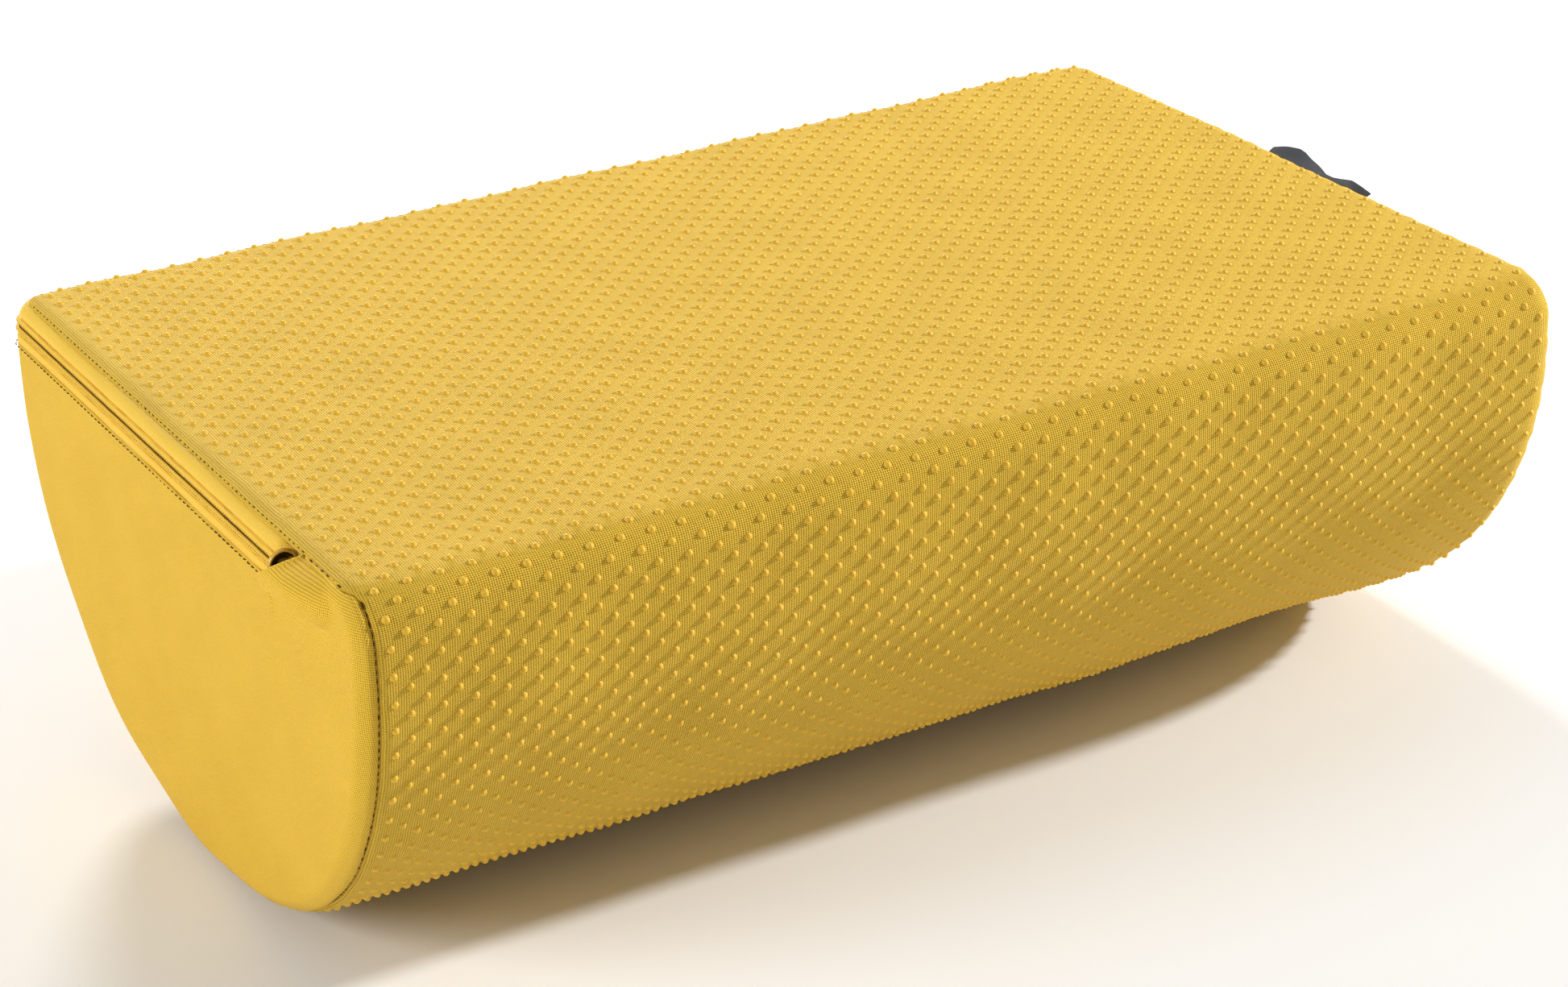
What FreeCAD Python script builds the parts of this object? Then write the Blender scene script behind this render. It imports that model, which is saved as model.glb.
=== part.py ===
import FreeCAD, Part
import math
import os
import Sketcher

# A half-round support cushion: a foam core in a zipped fabric cover.
# Millimetres. X runs along the cushion, from the zipped end (-X) to the end with the label (+X).
# Y runs from front (-Y) to rear (+Y). Z is up; Z = 0 is the lowest line of the round underside,
# and the flat face is on top. The origin is under the middle of the cushion.

doc = FreeCAD.newDocument("half_round_cushion")
sheet = doc.addObject("Spreadsheet::Sheet", "Dims")

DIMENSIONS = [
    ("cover_length", 446.0, "end face to end face"),
    ("cover_depth", 290.0, "front wall to rear wall"),
    ("cover_height", 156.0, "lowest line to the flat top"),
    ("crease_round", 17.4, "rounding between the top and the long walls"),
    ("side_round", 130.0, "arc from a long wall towards the bottom"),
    ("bottom_round", 190.0, "arc of the rocking underside"),
    ("left_end_round", 8.0, "edge rounding of the zipped end"),
    ("right_end_round", 12.0, "edge rounding of the labelled end"),
    ("fabric_thick", 1.2, "cover fabric"),
    ("foam_inset", 1.4, "foam surface below the cover surface"),
    ("thread_proud", 0.25, "how far a seam thread stands out of the fabric"),
    ("thread_width", 0.6, "visible width of a seam thread"),
    ("left_seam_inset", 5.0, "left end seam from the end face"),
    ("right_seam_inset", 2.5, "right end seam from the end face"),
    ("zip_drop", 11.5, "zip centre line below the flat top"),
    ("zip_upper_reach", 9.0, "zip centre line up to the edge of the wrap"),
    ("zip_lower_reach", 7.0, "zip centre line down to the edge of the lower fabric"),
    ("zip_slit", 1.4, "gap between the two tapes"),
    ("zip_end_x", 172.0, "where the zip ends on the rear wall"),
    ("tape_inset", 0.4, "tape surface below the cover surface"),
    ("tape_back", 1.0, "back of the tape below the cover surface"),
    ("coil_back", 2.6, "back of the coil below the cover surface"),
    ("coil_width", 2.4, "width of one coil"),
    ("relief_back", 4.8, "bottom of the channel that the slider presses in the foam"),
    ("relief_half", 5.6, "half width of that channel"),
    ("stitch_margin", 1.0, "topstitch row from the fabric edge"),
    ("seam_gap", 0.1, "garage seam thread clear of the panel's edge"),
    ("seam_start", 1.0, "garage seam thread in front of the mouth"),
    ("rear_seam_start", 2.0, "closing seam past the zip's end"),
    ("mouth_top_y", -103.0, "upper end of the garage mouth"),
    ("mouth_bottom_y", -79.5, "lower end of the garage mouth"),
    ("hood_end_y", -120.0, "where the garage hood starts to close"),
    ("hood_rise", 6.5, "how far the hood stands off the end face"),
    ("hood_half", 11.0, "half height of the hood on the end face"),
    ("stop_y", -112.0, "top stops, inside the garage"),
    ("stop_length", 3.0, "a stop along the zip"),
    ("stop_gap", 0.2, "top stop clear of the slit's edge"),
    ("stop_half", 3.2, "half height of the bottom stop, which spans both tapes"),
    ("stop_margin", 1.0, "bottom stop clear of the zip's end"),
    ("slider_y", -93.0, "middle of the slider when the zip is closed"),
    ("slider_length", 12.0, "slider along the zip"),
    ("slider_width", 7.6, "slider across the zip"),
    ("slider_rise", 4.9, "top of the slider outside the end face"),
    ("slider_wall", 0.9, "wall of the slider's vault"),
    ("slider_foot", 0.1, "foot of the vault below the end face"),
    ("plate_front", 3.0, "front of the slider's back plate below the end face"),
    ("plate_back", 4.2, "back of that plate below the end face"),
    ("post_width", 0.8, "slider post in the slit"),
    ("post_half", 2.0, "half length of that post along the zip"),
    ("post_bite", 0.1, "how far the post runs into the back plate"),
    ("label_y", -10.0, "middle of the label along the right end"),
    ("label_length", 60.0, "label along the seam"),
    ("label_reach", 8.1, "label out of the seam"),
    ("label_thick", 1.1, "two layers of folded ribbon"),
    ("label_root", 1.6, "start of the free label from the seam line"),
    ("label_tilt", 22.0, "label above level, in degrees"),
    ("label_fold", 0.5, "rounding of the label's folded edge"),
    ("reach_out", 12.0, "how far a cutting box passes outside the cover"),
    ("corner_depth", 14.0, "depth of the zip zone behind the left end face"),
    ("wall_depth", 30.0, "depth of the zip zone behind the rear wall"),
]


def fill_sheet():
    for row, (alias, value, note) in enumerate(DIMENSIONS, start=1):
        sheet.set("A%d" % row, alias)
        sheet.set("B%d" % row, repr(value))
        sheet.set("C%d" % row, note)
        sheet.setAlias("B%d" % row, alias)
    doc.recompute()


fill_sheet()
dim = {alias: float(sheet.get(alias)) for alias, _, _ in DIMENSIONS}


def cell(expression):
    """Turn bare dimension names in an expression into references to the sheet."""
    words = {alias for alias, _, _ in DIMENSIONS}
    out = ""
    word = ""
    for char in expression + " ":
        if char.isalnum() or char == "_":
            word += char
            continue
        out += "Dims." + word if word in words else word
        out += char
        word = ""
    return out.strip()


def bind(obj, prop, expression):
    obj.setExpression(prop, cell(expression))


def origin_plane(body, role):
    return next(item for item in body.Origin.OriginFeatures if item.Role == role)


# ---------------------------------------------------------------- the cover's outer form

def section_points(inset):
    """Corner points of the D section, inset by a distance, in (Y, Z)."""
    half = dim["cover_depth"] / 2
    side = dim["side_round"]
    bottom = dim["bottom_round"]
    side_y = half - side
    side_z = bottom - math.sqrt((bottom - side) ** 2 - side_y ** 2)
    lean = math.atan2(side_y, bottom - side_z)
    return {
        "top": (half - dim["crease_round"], dim["cover_height"] - inset),
        "wall_top": (half - inset, dim["cover_height"] - dim["crease_round"]),
        "wall_foot": (half - inset, side_z),
        "side_centre": (side_y, side_z),
        "lean": lean,
    }


def draw_section(sketch, inset):
    """The D section: flat top, rounded creases, short walls, side arcs and one bottom arc."""
    p = section_points(inset)
    up = FreeCAD.Vector(0, 0, 1)

    def flat(y, z):
        return FreeCAD.Vector(y, z, 0)

    def arc(centre, radius, start, end):
        return Part.ArcOfCircle(Part.Circle(flat(*centre), up, radius), start, end)

    crease = dim["crease_round"] - inset
    crease_centre = (p["top"][0], p["wall_top"][1])
    side = dim["side_round"] - inset
    quarter = math.pi / 2
    sketch.addGeometry([
        Part.LineSegment(flat(*p["top"]), flat(-p["top"][0], p["top"][1])),
        arc((-crease_centre[0], crease_centre[1]), crease, quarter, 2 * quarter),
        Part.LineSegment(flat(-p["wall_top"][0], p["wall_top"][1]),
                         flat(-p["wall_foot"][0], p["wall_foot"][1])),
        arc((-p["side_centre"][0], p["side_centre"][1]), side, 2 * quarter, 3 * quarter - p["lean"]),
        arc((0, dim["bottom_round"]), dim["bottom_round"] - inset,
            3 * quarter - p["lean"], 3 * quarter + p["lean"]),
        arc(p["side_centre"], side, 3 * quarter + p["lean"], 4 * quarter),
        Part.LineSegment(flat(*p["wall_foot"]), flat(*p["wall_top"])),
        arc(crease_centre, crease, 0, quarter),
    ], False)
    start, end, centre = 1, 2, 3
    tangent = [(0, end, 1, start), (1, end, 2, start), (2, end, 3, start), (3, end, 4, start),
               (4, end, 5, start), (5, end, 6, start), (6, end, 7, start), (7, end, 0, start)]
    for a, a_end, b, b_end in tangent:
        sketch.addConstraint(Sketcher.Constraint("Tangent", a, a_end, b, b_end))
    sketch.addConstraint(Sketcher.Constraint("Horizontal", 0))
    sketch.addConstraint(Sketcher.Constraint("Vertical", 2))
    sketch.addConstraint(Sketcher.Constraint("Vertical", 6))
    sketch.addConstraint(Sketcher.Constraint("PointOnObject", 4, centre, -2))
    sketch.addConstraint(Sketcher.Constraint("Equal", 1, 7))
    sketch.addConstraint(Sketcher.Constraint("Equal", 3, 5))
    driven = [
        ("Radius", (7,), crease, "crease_round - %g" % inset),
        ("Radius", (5,), side, "side_round - %g" % inset),
        ("Radius", (4,), dim["bottom_round"] - inset, "bottom_round - %g" % inset),
        ("DistanceY", (-1, 1, 4, centre), dim["bottom_round"], "bottom_round"),
        ("DistanceY", (-1, 1, 0, start), p["top"][1], "cover_height - %g" % inset),
        ("DistanceX", (-1, 1, 6, start), p["wall_foot"][0], "cover_depth / 2 - %g" % inset),
        ("DistanceX", (2, start, -1, 1), p["wall_foot"][0], "cover_depth / 2 - %g" % inset),
    ]
    for kind, refs, value, expression in driven:
        index = sketch.addConstraint(Sketcher.Constraint(kind, *refs, value))
        bind(sketch, "Constraints[%d]" % index, expression)


def form(name, inset):
    """The cover's whole shape, inset on every side: a D-section pad with rounded ends."""
    body = doc.addObject("PartDesign::Body", name)
    sketch = body.newObject("Sketcher::SketchObject", name + "_section")
    sketch.AttachmentSupport = [(origin_plane(body, "YZ_Plane"), "")]
    sketch.MapMode = "FlatFace"
    bind(sketch, "AttachmentOffset.Base.z", "-cover_length / 2 + %g" % inset)
    draw_section(sketch, inset)
    pad = body.newObject("PartDesign::Pad", name + "_length")
    pad.Profile = sketch
    bind(pad, "Length", "cover_length - %g" % (2 * inset))
    doc.recompute()
    base = pad
    for side, alias in ((-1, "left_end_round"), (1, "right_end_round")):
        faces = base.Shape.Faces
        index = max(range(len(faces)), key=lambda i: side * faces[i].CenterOfMass.x)
        fillet = body.newObject("PartDesign::Fillet", "%s_%s" % (name, alias))
        fillet.Base = (base, ["Face%d" % (index + 1)])
        bind(fillet, "Radius", "%s - %g" % (alias, inset))
        doc.recompute()
        base = fillet
    return body


# ---------------------------------------------------------------- cutting tools

def box(name, low, high):
    """A box whose two corners are expressions in the sheet's dimensions."""
    obj = doc.addObject("Part::Box", name)
    for axis, prop, low_text, high_text in zip("xyz", ("Length", "Width", "Height"), low, high):
        bind(obj, "Placement.Base." + axis, low_text)
        bind(obj, prop, "(%s) - (%s)" % (high_text, low_text))
    return obj


def boolean(kind, name, pieces):
    obj = doc.addObject(kind, name)
    if kind == "Part::Cut":
        obj.Base, obj.Tool = pieces
    else:
        obj.Shapes = pieces
    obj.Label = name
    return obj


def cut(name, base, tool):
    return boolean("Part::Cut", name, (base, tool))


def common(name, pieces):
    return boolean("Part::MultiCommon", name, pieces)


def fuse(name, pieces):
    return boolean("Part::MultiFuse", name, pieces)


LEFT = "-cover_length / 2"
RIGHT = "cover_length / 2"
FRONT = "-cover_depth / 2"
REAR = "cover_depth / 2"
ZIP_Z = "cover_height - zip_drop"
UPPER_EDGE = "cover_height - zip_drop + zip_upper_reach"
LOWER_EDGE = "cover_height - zip_drop - zip_lower_reach"
SHORT = "%s - reach_out"
LONG = "%s + reach_out"


def zip_zone(name, low_z, high_z, start_y):
    """The L-shaped zone of the zip between two heights: left end face, then rear wall."""
    end_part = box(name + "_end", (SHORT % LEFT, start_y, low_z),
                   (LEFT + " + corner_depth", LONG % REAR, high_z))
    rear_part = box(name + "_rear", (SHORT % LEFT, REAR + " - wall_depth", low_z),
                    ("zip_end_x", LONG % REAR, high_z))
    return fuse(name, [end_part, rear_part])


# ---------------------------------------------------------------- the pieces

thread_form = form("thread_form", -dim["thread_proud"])
cover_form = form("cover_form", 0.0)
tape_form = form("tape_form", dim["tape_inset"])
tape_back_form = form("tape_back_form", dim["tape_back"])
lining_form = form("lining_form", dim["fabric_thick"])
foam_form = form("foam_form", dim["foam_inset"])
coil_back_form = form("coil_back_form", dim["coil_back"])
relief_form = form("relief_form", dim["relief_back"])

fabric_skin = cut("fabric_skin", cover_form, lining_form)
thread_skin = cut("thread_skin", thread_form, cover_form)
tape_skin = cut("tape_skin", tape_form, tape_back_form)
coil_skin = cut("coil_skin", tape_back_form, coil_back_form)
relief_skin = cut("relief_skin", thread_form, relief_form)
stop_skin = cut("stop_skin", thread_form, tape_form)


def foam_core():
    """The foam block, with the shallow channel that the zip slider presses into it."""
    zone = zip_zone("relief_zone", ZIP_Z + " - relief_half", ZIP_Z + " + relief_half", "hood_end_y")
    channel = common("relief_channel", [relief_skin, zone])
    return cut("foam_core", foam_form, channel)


def left_cap_zone():
    return box("left_cap_zone", (SHORT % LEFT, SHORT % FRONT, "-reach_out"),
               (LEFT + " + left_seam_inset", LONG % REAR, UPPER_EDGE))


def right_cap_zone():
    return box("right_cap_zone", (RIGHT + " - right_seam_inset", SHORT % FRONT, "-reach_out"),
               (LONG % RIGHT, LONG % REAR, LONG % "cover_height"))


def wrap_panel(left_zone, right_zone):
    """The dotted fabric: one piece round the top, front, underside and rear."""
    opening = box("rear_opening", (SHORT % LEFT, REAR + " - wall_depth", LOWER_EDGE),
                  ("zip_end_x", LONG % REAR, UPPER_EDGE))
    left_trimmed = cut("wrap_without_left", fabric_skin, left_zone)
    both_trimmed = cut("wrap_without_ends", left_trimmed, right_zone)
    return cut("wrap_panel", both_trimmed, opening)


def hood_solid(name, wall):
    """The garage hood's bulge: a shallow barrel along Y, closed by a ball at its front end."""
    radius = "(hood_half ^ 2 + hood_rise ^ 2) / (2 * hood_rise)"
    barrel = doc.addObject("Part::Cylinder", name + "_barrel")
    bind(barrel, "Radius", "%s - %s" % (radius, wall))
    bind(barrel, "Height", "mouth_bottom_y - hood_end_y")
    barrel.Placement = FreeCAD.Placement(FreeCAD.Vector(), FreeCAD.Rotation(FreeCAD.Vector(1, 0, 0), -90))
    ball = doc.addObject("Part::Sphere", name + "_ball")
    bind(ball, "Radius", "%s - %s" % (radius, wall))
    for piece in (barrel, ball):
        bind(piece, "Placement.Base.x", "%s + %s - hood_rise" % (LEFT, radius))
        bind(piece, "Placement.Base.y", "hood_end_y")
        bind(piece, "Placement.Base.z", ZIP_Z)
    return fuse(name, [barrel, ball])


def mouth_opening():
    """The zip opening in the end panel; its front side is the slanted garage mouth."""
    body = doc.addObject("PartDesign::Body", "mouth_opening")
    sketch = body.newObject("Sketcher::SketchObject", "mouth_outline")
    sketch.AttachmentSupport = [(origin_plane(body, "YZ_Plane"), "")]
    sketch.MapMode = "FlatFace"
    bind(sketch, "AttachmentOffset.Base.z", SHORT % LEFT)
    low = dim["cover_height"] - dim["zip_drop"] - dim["zip_lower_reach"]
    high = dim["cover_height"] - dim["zip_drop"] + dim["zip_upper_reach"]
    far = dim["cover_depth"] / 2 + dim["reach_out"]
    corners = [(dim["mouth_bottom_y"], low), (far, low), (far, high), (dim["mouth_top_y"], high)]
    for k, (y, z) in enumerate(corners):
        after = corners[(k + 1) % len(corners)]
        sketch.addGeometry(Part.LineSegment(FreeCAD.Vector(y, z, 0),
                                            FreeCAD.Vector(after[0], after[1], 0)), False)
    for k in range(len(corners)):
        joined = (k + 1) % len(corners)
        sketch.addConstraint(Sketcher.Constraint("Coincident", k, 2, joined, 1))
    sketch.addConstraint(Sketcher.Constraint("Horizontal", 0))
    sketch.addConstraint(Sketcher.Constraint("Vertical", 1))
    sketch.addConstraint(Sketcher.Constraint("Horizontal", 2))
    driven = [
        ("DistanceY", (-1, 1, 0, 1), low, LOWER_EDGE),
        ("DistanceY", (-1, 1, 2, 1), high, UPPER_EDGE),
        ("DistanceX", (-1, 1, 1, 1), far, LONG % REAR),
        ("DistanceX", (0, 1, -1, 1), -dim["mouth_bottom_y"], "-mouth_bottom_y"),
        ("DistanceX", (2, 2, -1, 1), -dim["mouth_top_y"], "-mouth_top_y"),
    ]
    for kind, refs, value, expression in driven:
        index = sketch.addConstraint(Sketcher.Constraint(kind, *refs, value))
        bind(sketch, "Constraints[%d]" % index, expression)
    pad = body.newObject("PartDesign::Pad", "mouth_depth")
    pad.Profile = sketch
    bind(pad, "Length", "reach_out + corner_depth")
    return body


def left_end_panel(left_zone):
    """The plain end panel with its garage hood; the zip runs in the opening along its top."""
    blank = common("left_end_blank", [fabric_skin, left_zone])
    side = box("hood_side", (SHORT % LEFT, SHORT % FRONT, "0"),
               (LEFT + " + fabric_thick", LONG % REAR, UPPER_EDGE))
    bulge = common("hood_cap", [hood_solid("hood_outside", "0"), side])
    hooded = fuse("left_end_hooded", [blank, bulge])
    hollow = cut("left_end_hollow", hooded, hood_solid("hood_inside", "fabric_thick"))
    return cut("left_end_panel", hollow, mouth_opening())


def tapes_and_coils():
    """Two woven tapes, and the coil sewn behind the inner edge of each."""
    for side, low, high in (("upper", ZIP_Z + " + zip_slit / 2", UPPER_EDGE),
                            ("lower", LOWER_EDGE, ZIP_Z + " - zip_slit / 2")):
        zone = zip_zone("tape_zone_" + side, low, high, "hood_end_y")
        yield common("zip_tape_" + side, [tape_skin, zone])
    for side, low, high in (
            ("upper", ZIP_Z + " + zip_slit / 2", ZIP_Z + " + zip_slit / 2 + coil_width"),
            ("lower", ZIP_Z + " - zip_slit / 2 - coil_width", ZIP_Z + " - zip_slit / 2")):
        zone = zip_zone("coil_zone_" + side, low, high, "hood_end_y")
        yield common("zip_coil_" + side, [coil_skin, zone])


def zip_stops():
    """Two stops at the closed end, one on each tape, and one across both tapes at the other end."""
    bits = []
    for side, low, high in (("upper", "zip_slit / 2 + stop_gap", "zip_slit / 2 + coil_width"),
                            ("lower", "-zip_slit / 2 - coil_width", "-zip_slit / 2 - stop_gap")):
        zone = box("top_stop_zone_" + side, (SHORT % LEFT, "stop_y", "%s + (%s)" % (ZIP_Z, low)),
                   (LEFT + " + corner_depth", "stop_y + stop_length", "%s + (%s)" % (ZIP_Z, high)))
        bits.append(common("top_stop_" + side, [stop_skin, zone]))
    zone = box("bottom_stop_zone",
               ("zip_end_x - stop_margin - stop_length", REAR + " - wall_depth", ZIP_Z + " - stop_half"),
               ("zip_end_x - stop_margin", LONG % REAR, ZIP_Z + " + stop_half"))
    return [fuse("zip_top_stops", bits), common("zip_bottom_stop", [stop_skin, zone])]


def band(name, low, high):
    return common(name, [thread_skin, box(name + "_zone", low, high)])


def seam_threads():
    """Topstitch rows beside the zip, and the threads of the closing seams."""
    row = "thread_width / 2"
    upper_row = UPPER_EDGE + " + stitch_margin"
    lower_row = LOWER_EDGE + " - stitch_margin"
    for side, middle, start in (("upper", upper_row, "mouth_top_y"),
                                ("lower", lower_row, "mouth_bottom_y")):
        zone = zip_zone("topstitch_zone_" + side, "%s - %s" % (middle, row), "%s + %s" % (middle, row),
                        start)
        yield common("zip_topstitch_" + side, [thread_skin, zone])
    loop = band("left_seam_loop", (LEFT + " + left_seam_inset - " + row, SHORT % FRONT, "-reach_out"),
                (LEFT + " + left_seam_inset + " + row, LONG % REAR, UPPER_EDGE + " - thread_width"))
    gap = box("left_seam_gap", (SHORT % LEFT, REAR + " - wall_depth", LOWER_EDGE + " - 2 * stitch_margin"),
              ("0", LONG % REAR, LONG % "cover_height"))
    yield cut("left_seam_thread", loop, gap)
    yield band("right_seam_thread", (RIGHT + " - right_seam_inset - " + row, SHORT % FRONT, "-reach_out"),
               (RIGHT + " - right_seam_inset + " + row, LONG % REAR, LONG % "cover_height"))
    yield band("garage_seam_thread", (SHORT % LEFT, SHORT % FRONT, UPPER_EDGE + " + seam_gap"),
               (LEFT + " + left_seam_inset", "mouth_top_y - seam_start",
                UPPER_EDGE + " + seam_gap + thread_width"))
    yield band("rear_seam_thread",
               ("zip_end_x + rear_seam_start", REAR + " - wall_depth", "%s - %s" % (ZIP_Z, row)),
               (RIGHT + " - right_end_round", LONG % REAR, "%s + %s" % (ZIP_Z, row)))


def zip_slider():
    """A pull-less slider: a vault outside the tapes, a plate behind them and a post between."""
    def barrel(name, wall):
        arch = doc.addObject("Part::Cylinder", name + "_arch")
        bind(arch, "Radius", "slider_width / 2 - " + wall)
        bind(arch, "Height", "slider_length")
        arch.Placement = FreeCAD.Placement(FreeCAD.Vector(), FreeCAD.Rotation(FreeCAD.Vector(1, 0, 0), -90))
        bind(arch, "Placement.Base.x", LEFT + " - slider_rise + slider_width / 2")
        bind(arch, "Placement.Base.y", "slider_y - slider_length / 2")
        bind(arch, "Placement.Base.z", ZIP_Z)
        legs = box(name + "_legs",
                   (LEFT + " - slider_rise + slider_width / 2", "slider_y - slider_length / 2",
                    "%s - slider_width / 2 + %s" % (ZIP_Z, wall)),
                   (LEFT + " + plate_back", "slider_y + slider_length / 2",
                    "%s + slider_width / 2 - %s" % (ZIP_Z, wall)))
        return fuse(name, [arch, legs])

    shell = cut("slider_shell", barrel("slider_outside", "0"), barrel("slider_inside", "slider_wall"))
    foot = box("slider_foot_trim",
               (LEFT + " + slider_foot", "slider_y - slider_length", ZIP_Z + " - slider_width"),
               (LEFT + " + reach_out", "slider_y + slider_length", ZIP_Z + " + slider_width"))
    vault = cut("slider_vault", shell, foot)
    plate = box("slider_plate", (LEFT + " + plate_front", "slider_y - slider_length / 2",
                                 ZIP_Z + " - slider_width / 2"),
                (LEFT + " + plate_back", "slider_y + slider_length / 2", ZIP_Z + " + slider_width / 2"))
    post = box("slider_post",
               (LEFT + " - slider_rise + slider_wall / 2", "slider_y - post_half",
                ZIP_Z + " - post_width / 2"),
               (LEFT + " + plate_front + post_bite", "slider_y + post_half", ZIP_Z + " + post_width / 2"))
    return fuse("zip_slider", [vault, plate, post])


def side_label():
    """The folded ribbon label: it leaves the right end seam and tilts a little upwards."""
    fold = dim["right_end_round"]
    seam_drop = fold - math.sqrt(fold ** 2 - (fold - dim["right_seam_inset"]) ** 2)
    length = dim["label_length"]
    flat = Part.makeBox(dim["label_reach"], length, dim["label_thick"],
                        FreeCAD.Vector(dim["label_root"], -length / 2, -dim["label_thick"] / 2))
    level = 1e-6
    folded = [edge for edge in flat.Edges
              if min(v.X for v in edge.Vertexes) > dim["label_reach"]
              and abs(edge.Vertexes[0].Z - edge.Vertexes[1].Z) < level]
    label = doc.addObject("Part::Feature", "side_label")
    label.Shape = flat.makeFillet(dim["label_fold"], folded)
    label.Placement = FreeCAD.Placement(
        FreeCAD.Vector(dim["cover_length"] / 2 - dim["right_seam_inset"], dim["label_y"],
                       dim["cover_height"] - seam_drop),
        FreeCAD.Rotation(FreeCAD.Vector(0, 1, 0), -dim["label_tilt"]))
    return label


left_zone = left_cap_zone()
right_zone = right_cap_zone()
nodes = [foam_core(), wrap_panel(left_zone, right_zone), left_end_panel(left_zone)]
nodes.append(common("right_end_panel", [fabric_skin, right_zone]))
nodes.extend(tapes_and_coils())
nodes.extend(zip_stops())
nodes.extend(seam_threads())
nodes.append(zip_slider())
nodes.append(side_label())
doc.recompute()

# ---------------------------------------------------------------- checks and export

for item in doc.Objects:
    bad = {"Invalid", "Error"} & set(item.State)
    if bad:
        raise RuntimeError("%s is %s" % (item.Name, ", ".join(sorted(bad))))
for node in nodes:
    shape = node.Shape
    if shape.isNull() or not shape.isValid() or not shape.Solids:
        raise RuntimeError("%s has no valid solid" % node.Label)
    node.Label = node.Name
os.makedirs("parts", exist_ok=True)
for node in nodes:
    node.Shape.exportStep("parts/%s.step" % node.Label)
    extent = node.Shape.BoundBox
    print("%-22s solids %d volume %10.1f  x %.1f..%.1f y %.1f..%.1f z %.1f..%.1f" % (
        node.Label, len(node.Shape.Solids), node.Shape.Volume, extent.XMin, extent.XMax,
        extent.YMin, extent.YMax, extent.ZMin, extent.ZMax))
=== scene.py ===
import math

import bmesh
import bpy
import numpy as np
from mathutils import Matrix, Vector


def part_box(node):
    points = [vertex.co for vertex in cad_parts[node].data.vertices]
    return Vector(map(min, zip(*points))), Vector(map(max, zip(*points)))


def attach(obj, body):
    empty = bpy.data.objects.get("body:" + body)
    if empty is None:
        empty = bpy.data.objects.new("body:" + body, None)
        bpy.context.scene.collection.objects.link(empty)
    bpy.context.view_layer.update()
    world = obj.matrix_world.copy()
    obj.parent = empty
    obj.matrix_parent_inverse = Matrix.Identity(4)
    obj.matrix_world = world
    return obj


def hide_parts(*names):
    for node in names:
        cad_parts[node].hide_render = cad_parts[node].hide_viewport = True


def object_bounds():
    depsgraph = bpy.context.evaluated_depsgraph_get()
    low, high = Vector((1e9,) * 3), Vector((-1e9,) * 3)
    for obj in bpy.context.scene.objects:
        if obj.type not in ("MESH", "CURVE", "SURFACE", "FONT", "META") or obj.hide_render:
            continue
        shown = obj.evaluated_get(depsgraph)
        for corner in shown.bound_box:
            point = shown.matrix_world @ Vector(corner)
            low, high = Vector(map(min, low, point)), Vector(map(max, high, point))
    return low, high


# A half-round support cushion: firm foam in a zipped cover of dotted yellow fabric.
# Lengths are millimetres in the frame's axes; piece() turns them into metres.

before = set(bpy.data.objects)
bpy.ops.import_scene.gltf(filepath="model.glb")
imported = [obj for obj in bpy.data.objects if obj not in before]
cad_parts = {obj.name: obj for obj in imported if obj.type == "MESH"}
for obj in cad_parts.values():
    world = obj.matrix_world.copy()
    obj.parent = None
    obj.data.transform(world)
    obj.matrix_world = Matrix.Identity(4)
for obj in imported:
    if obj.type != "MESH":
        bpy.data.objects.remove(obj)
cad_low, cad_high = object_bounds()

MM = 0.001
random = np.random.default_rng(11)


def corners(node):
    """The low and high corners of a CAD node's box."""
    low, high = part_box(node)
    return np.array(low) / MM, np.array(high) / MM


# ---------------- driving sizes, from the frame

HALF_LENGTH = corners("right_end_panel")[1][0]
HALF_DEPTH, HEIGHT = corners("wrap_panel")[1][1:]
CREASE = 17.4
SIDE = 130.0
BOTTOM = 190.0
LEFT_ROUND = 8.0
RIGHT_ROUND = 12.0
LEFT_SEAM_X = -HALF_LENGTH + 5.0
RIGHT_SEAM_X = HALF_LENGTH - 2.5
ZIP_Z = sum(corner[2] for corner in corners("zip_slider")) / 2
UPPER_EDGE = corners("zip_tape_upper")[1][2]
LOWER_EDGE = corners("zip_tape_lower")[0][2]
ZIP_START_Y = corners("zip_tape_upper")[0][1]
ZIP_END_X = corners("zip_tape_upper")[1][0]
MOUTH_TOP_Y = corners("zip_topstitch_upper")[0][1]
MOUTH_BOTTOM_Y = corners("zip_topstitch_lower")[0][1]
HOOD_RISE = -corners("left_end_panel")[0][0] - HALF_LENGTH
HOOD_HALF = 11.0
CREASE_TOP = HEIGHT - CREASE
FLAT_HALF = HALF_DEPTH - CREASE
SIDE_Y = HALF_DEPTH - SIDE
SIDE_DROP = math.sqrt((BOTTOM - SIDE) ** 2 - SIDE_Y ** 2)
SIDE_Z = BOTTOM - SIDE_DROP
LEAN = math.atan2(SIDE_Y, SIDE_DROP)
PANEL_CENTRE = (0.0, 0.55 * HEIGHT)
FABRIC_THICK = 0.9
FRONT_CREASE = 1.9


# ---------------- the D section

def half_runs():
    """(length, bend) of each run from the middle of the top to the middle of the underside."""
    return [
        (FLAT_HALF, 0.0),
        (CREASE * math.pi / 2, 1 / CREASE),
        (CREASE_TOP - SIDE_Z, 0.0),
        (SIDE * (math.pi / 2 - LEAN), 1 / SIDE),
        (BOTTOM * LEAN, 1 / BOTTOM),
    ]


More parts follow.
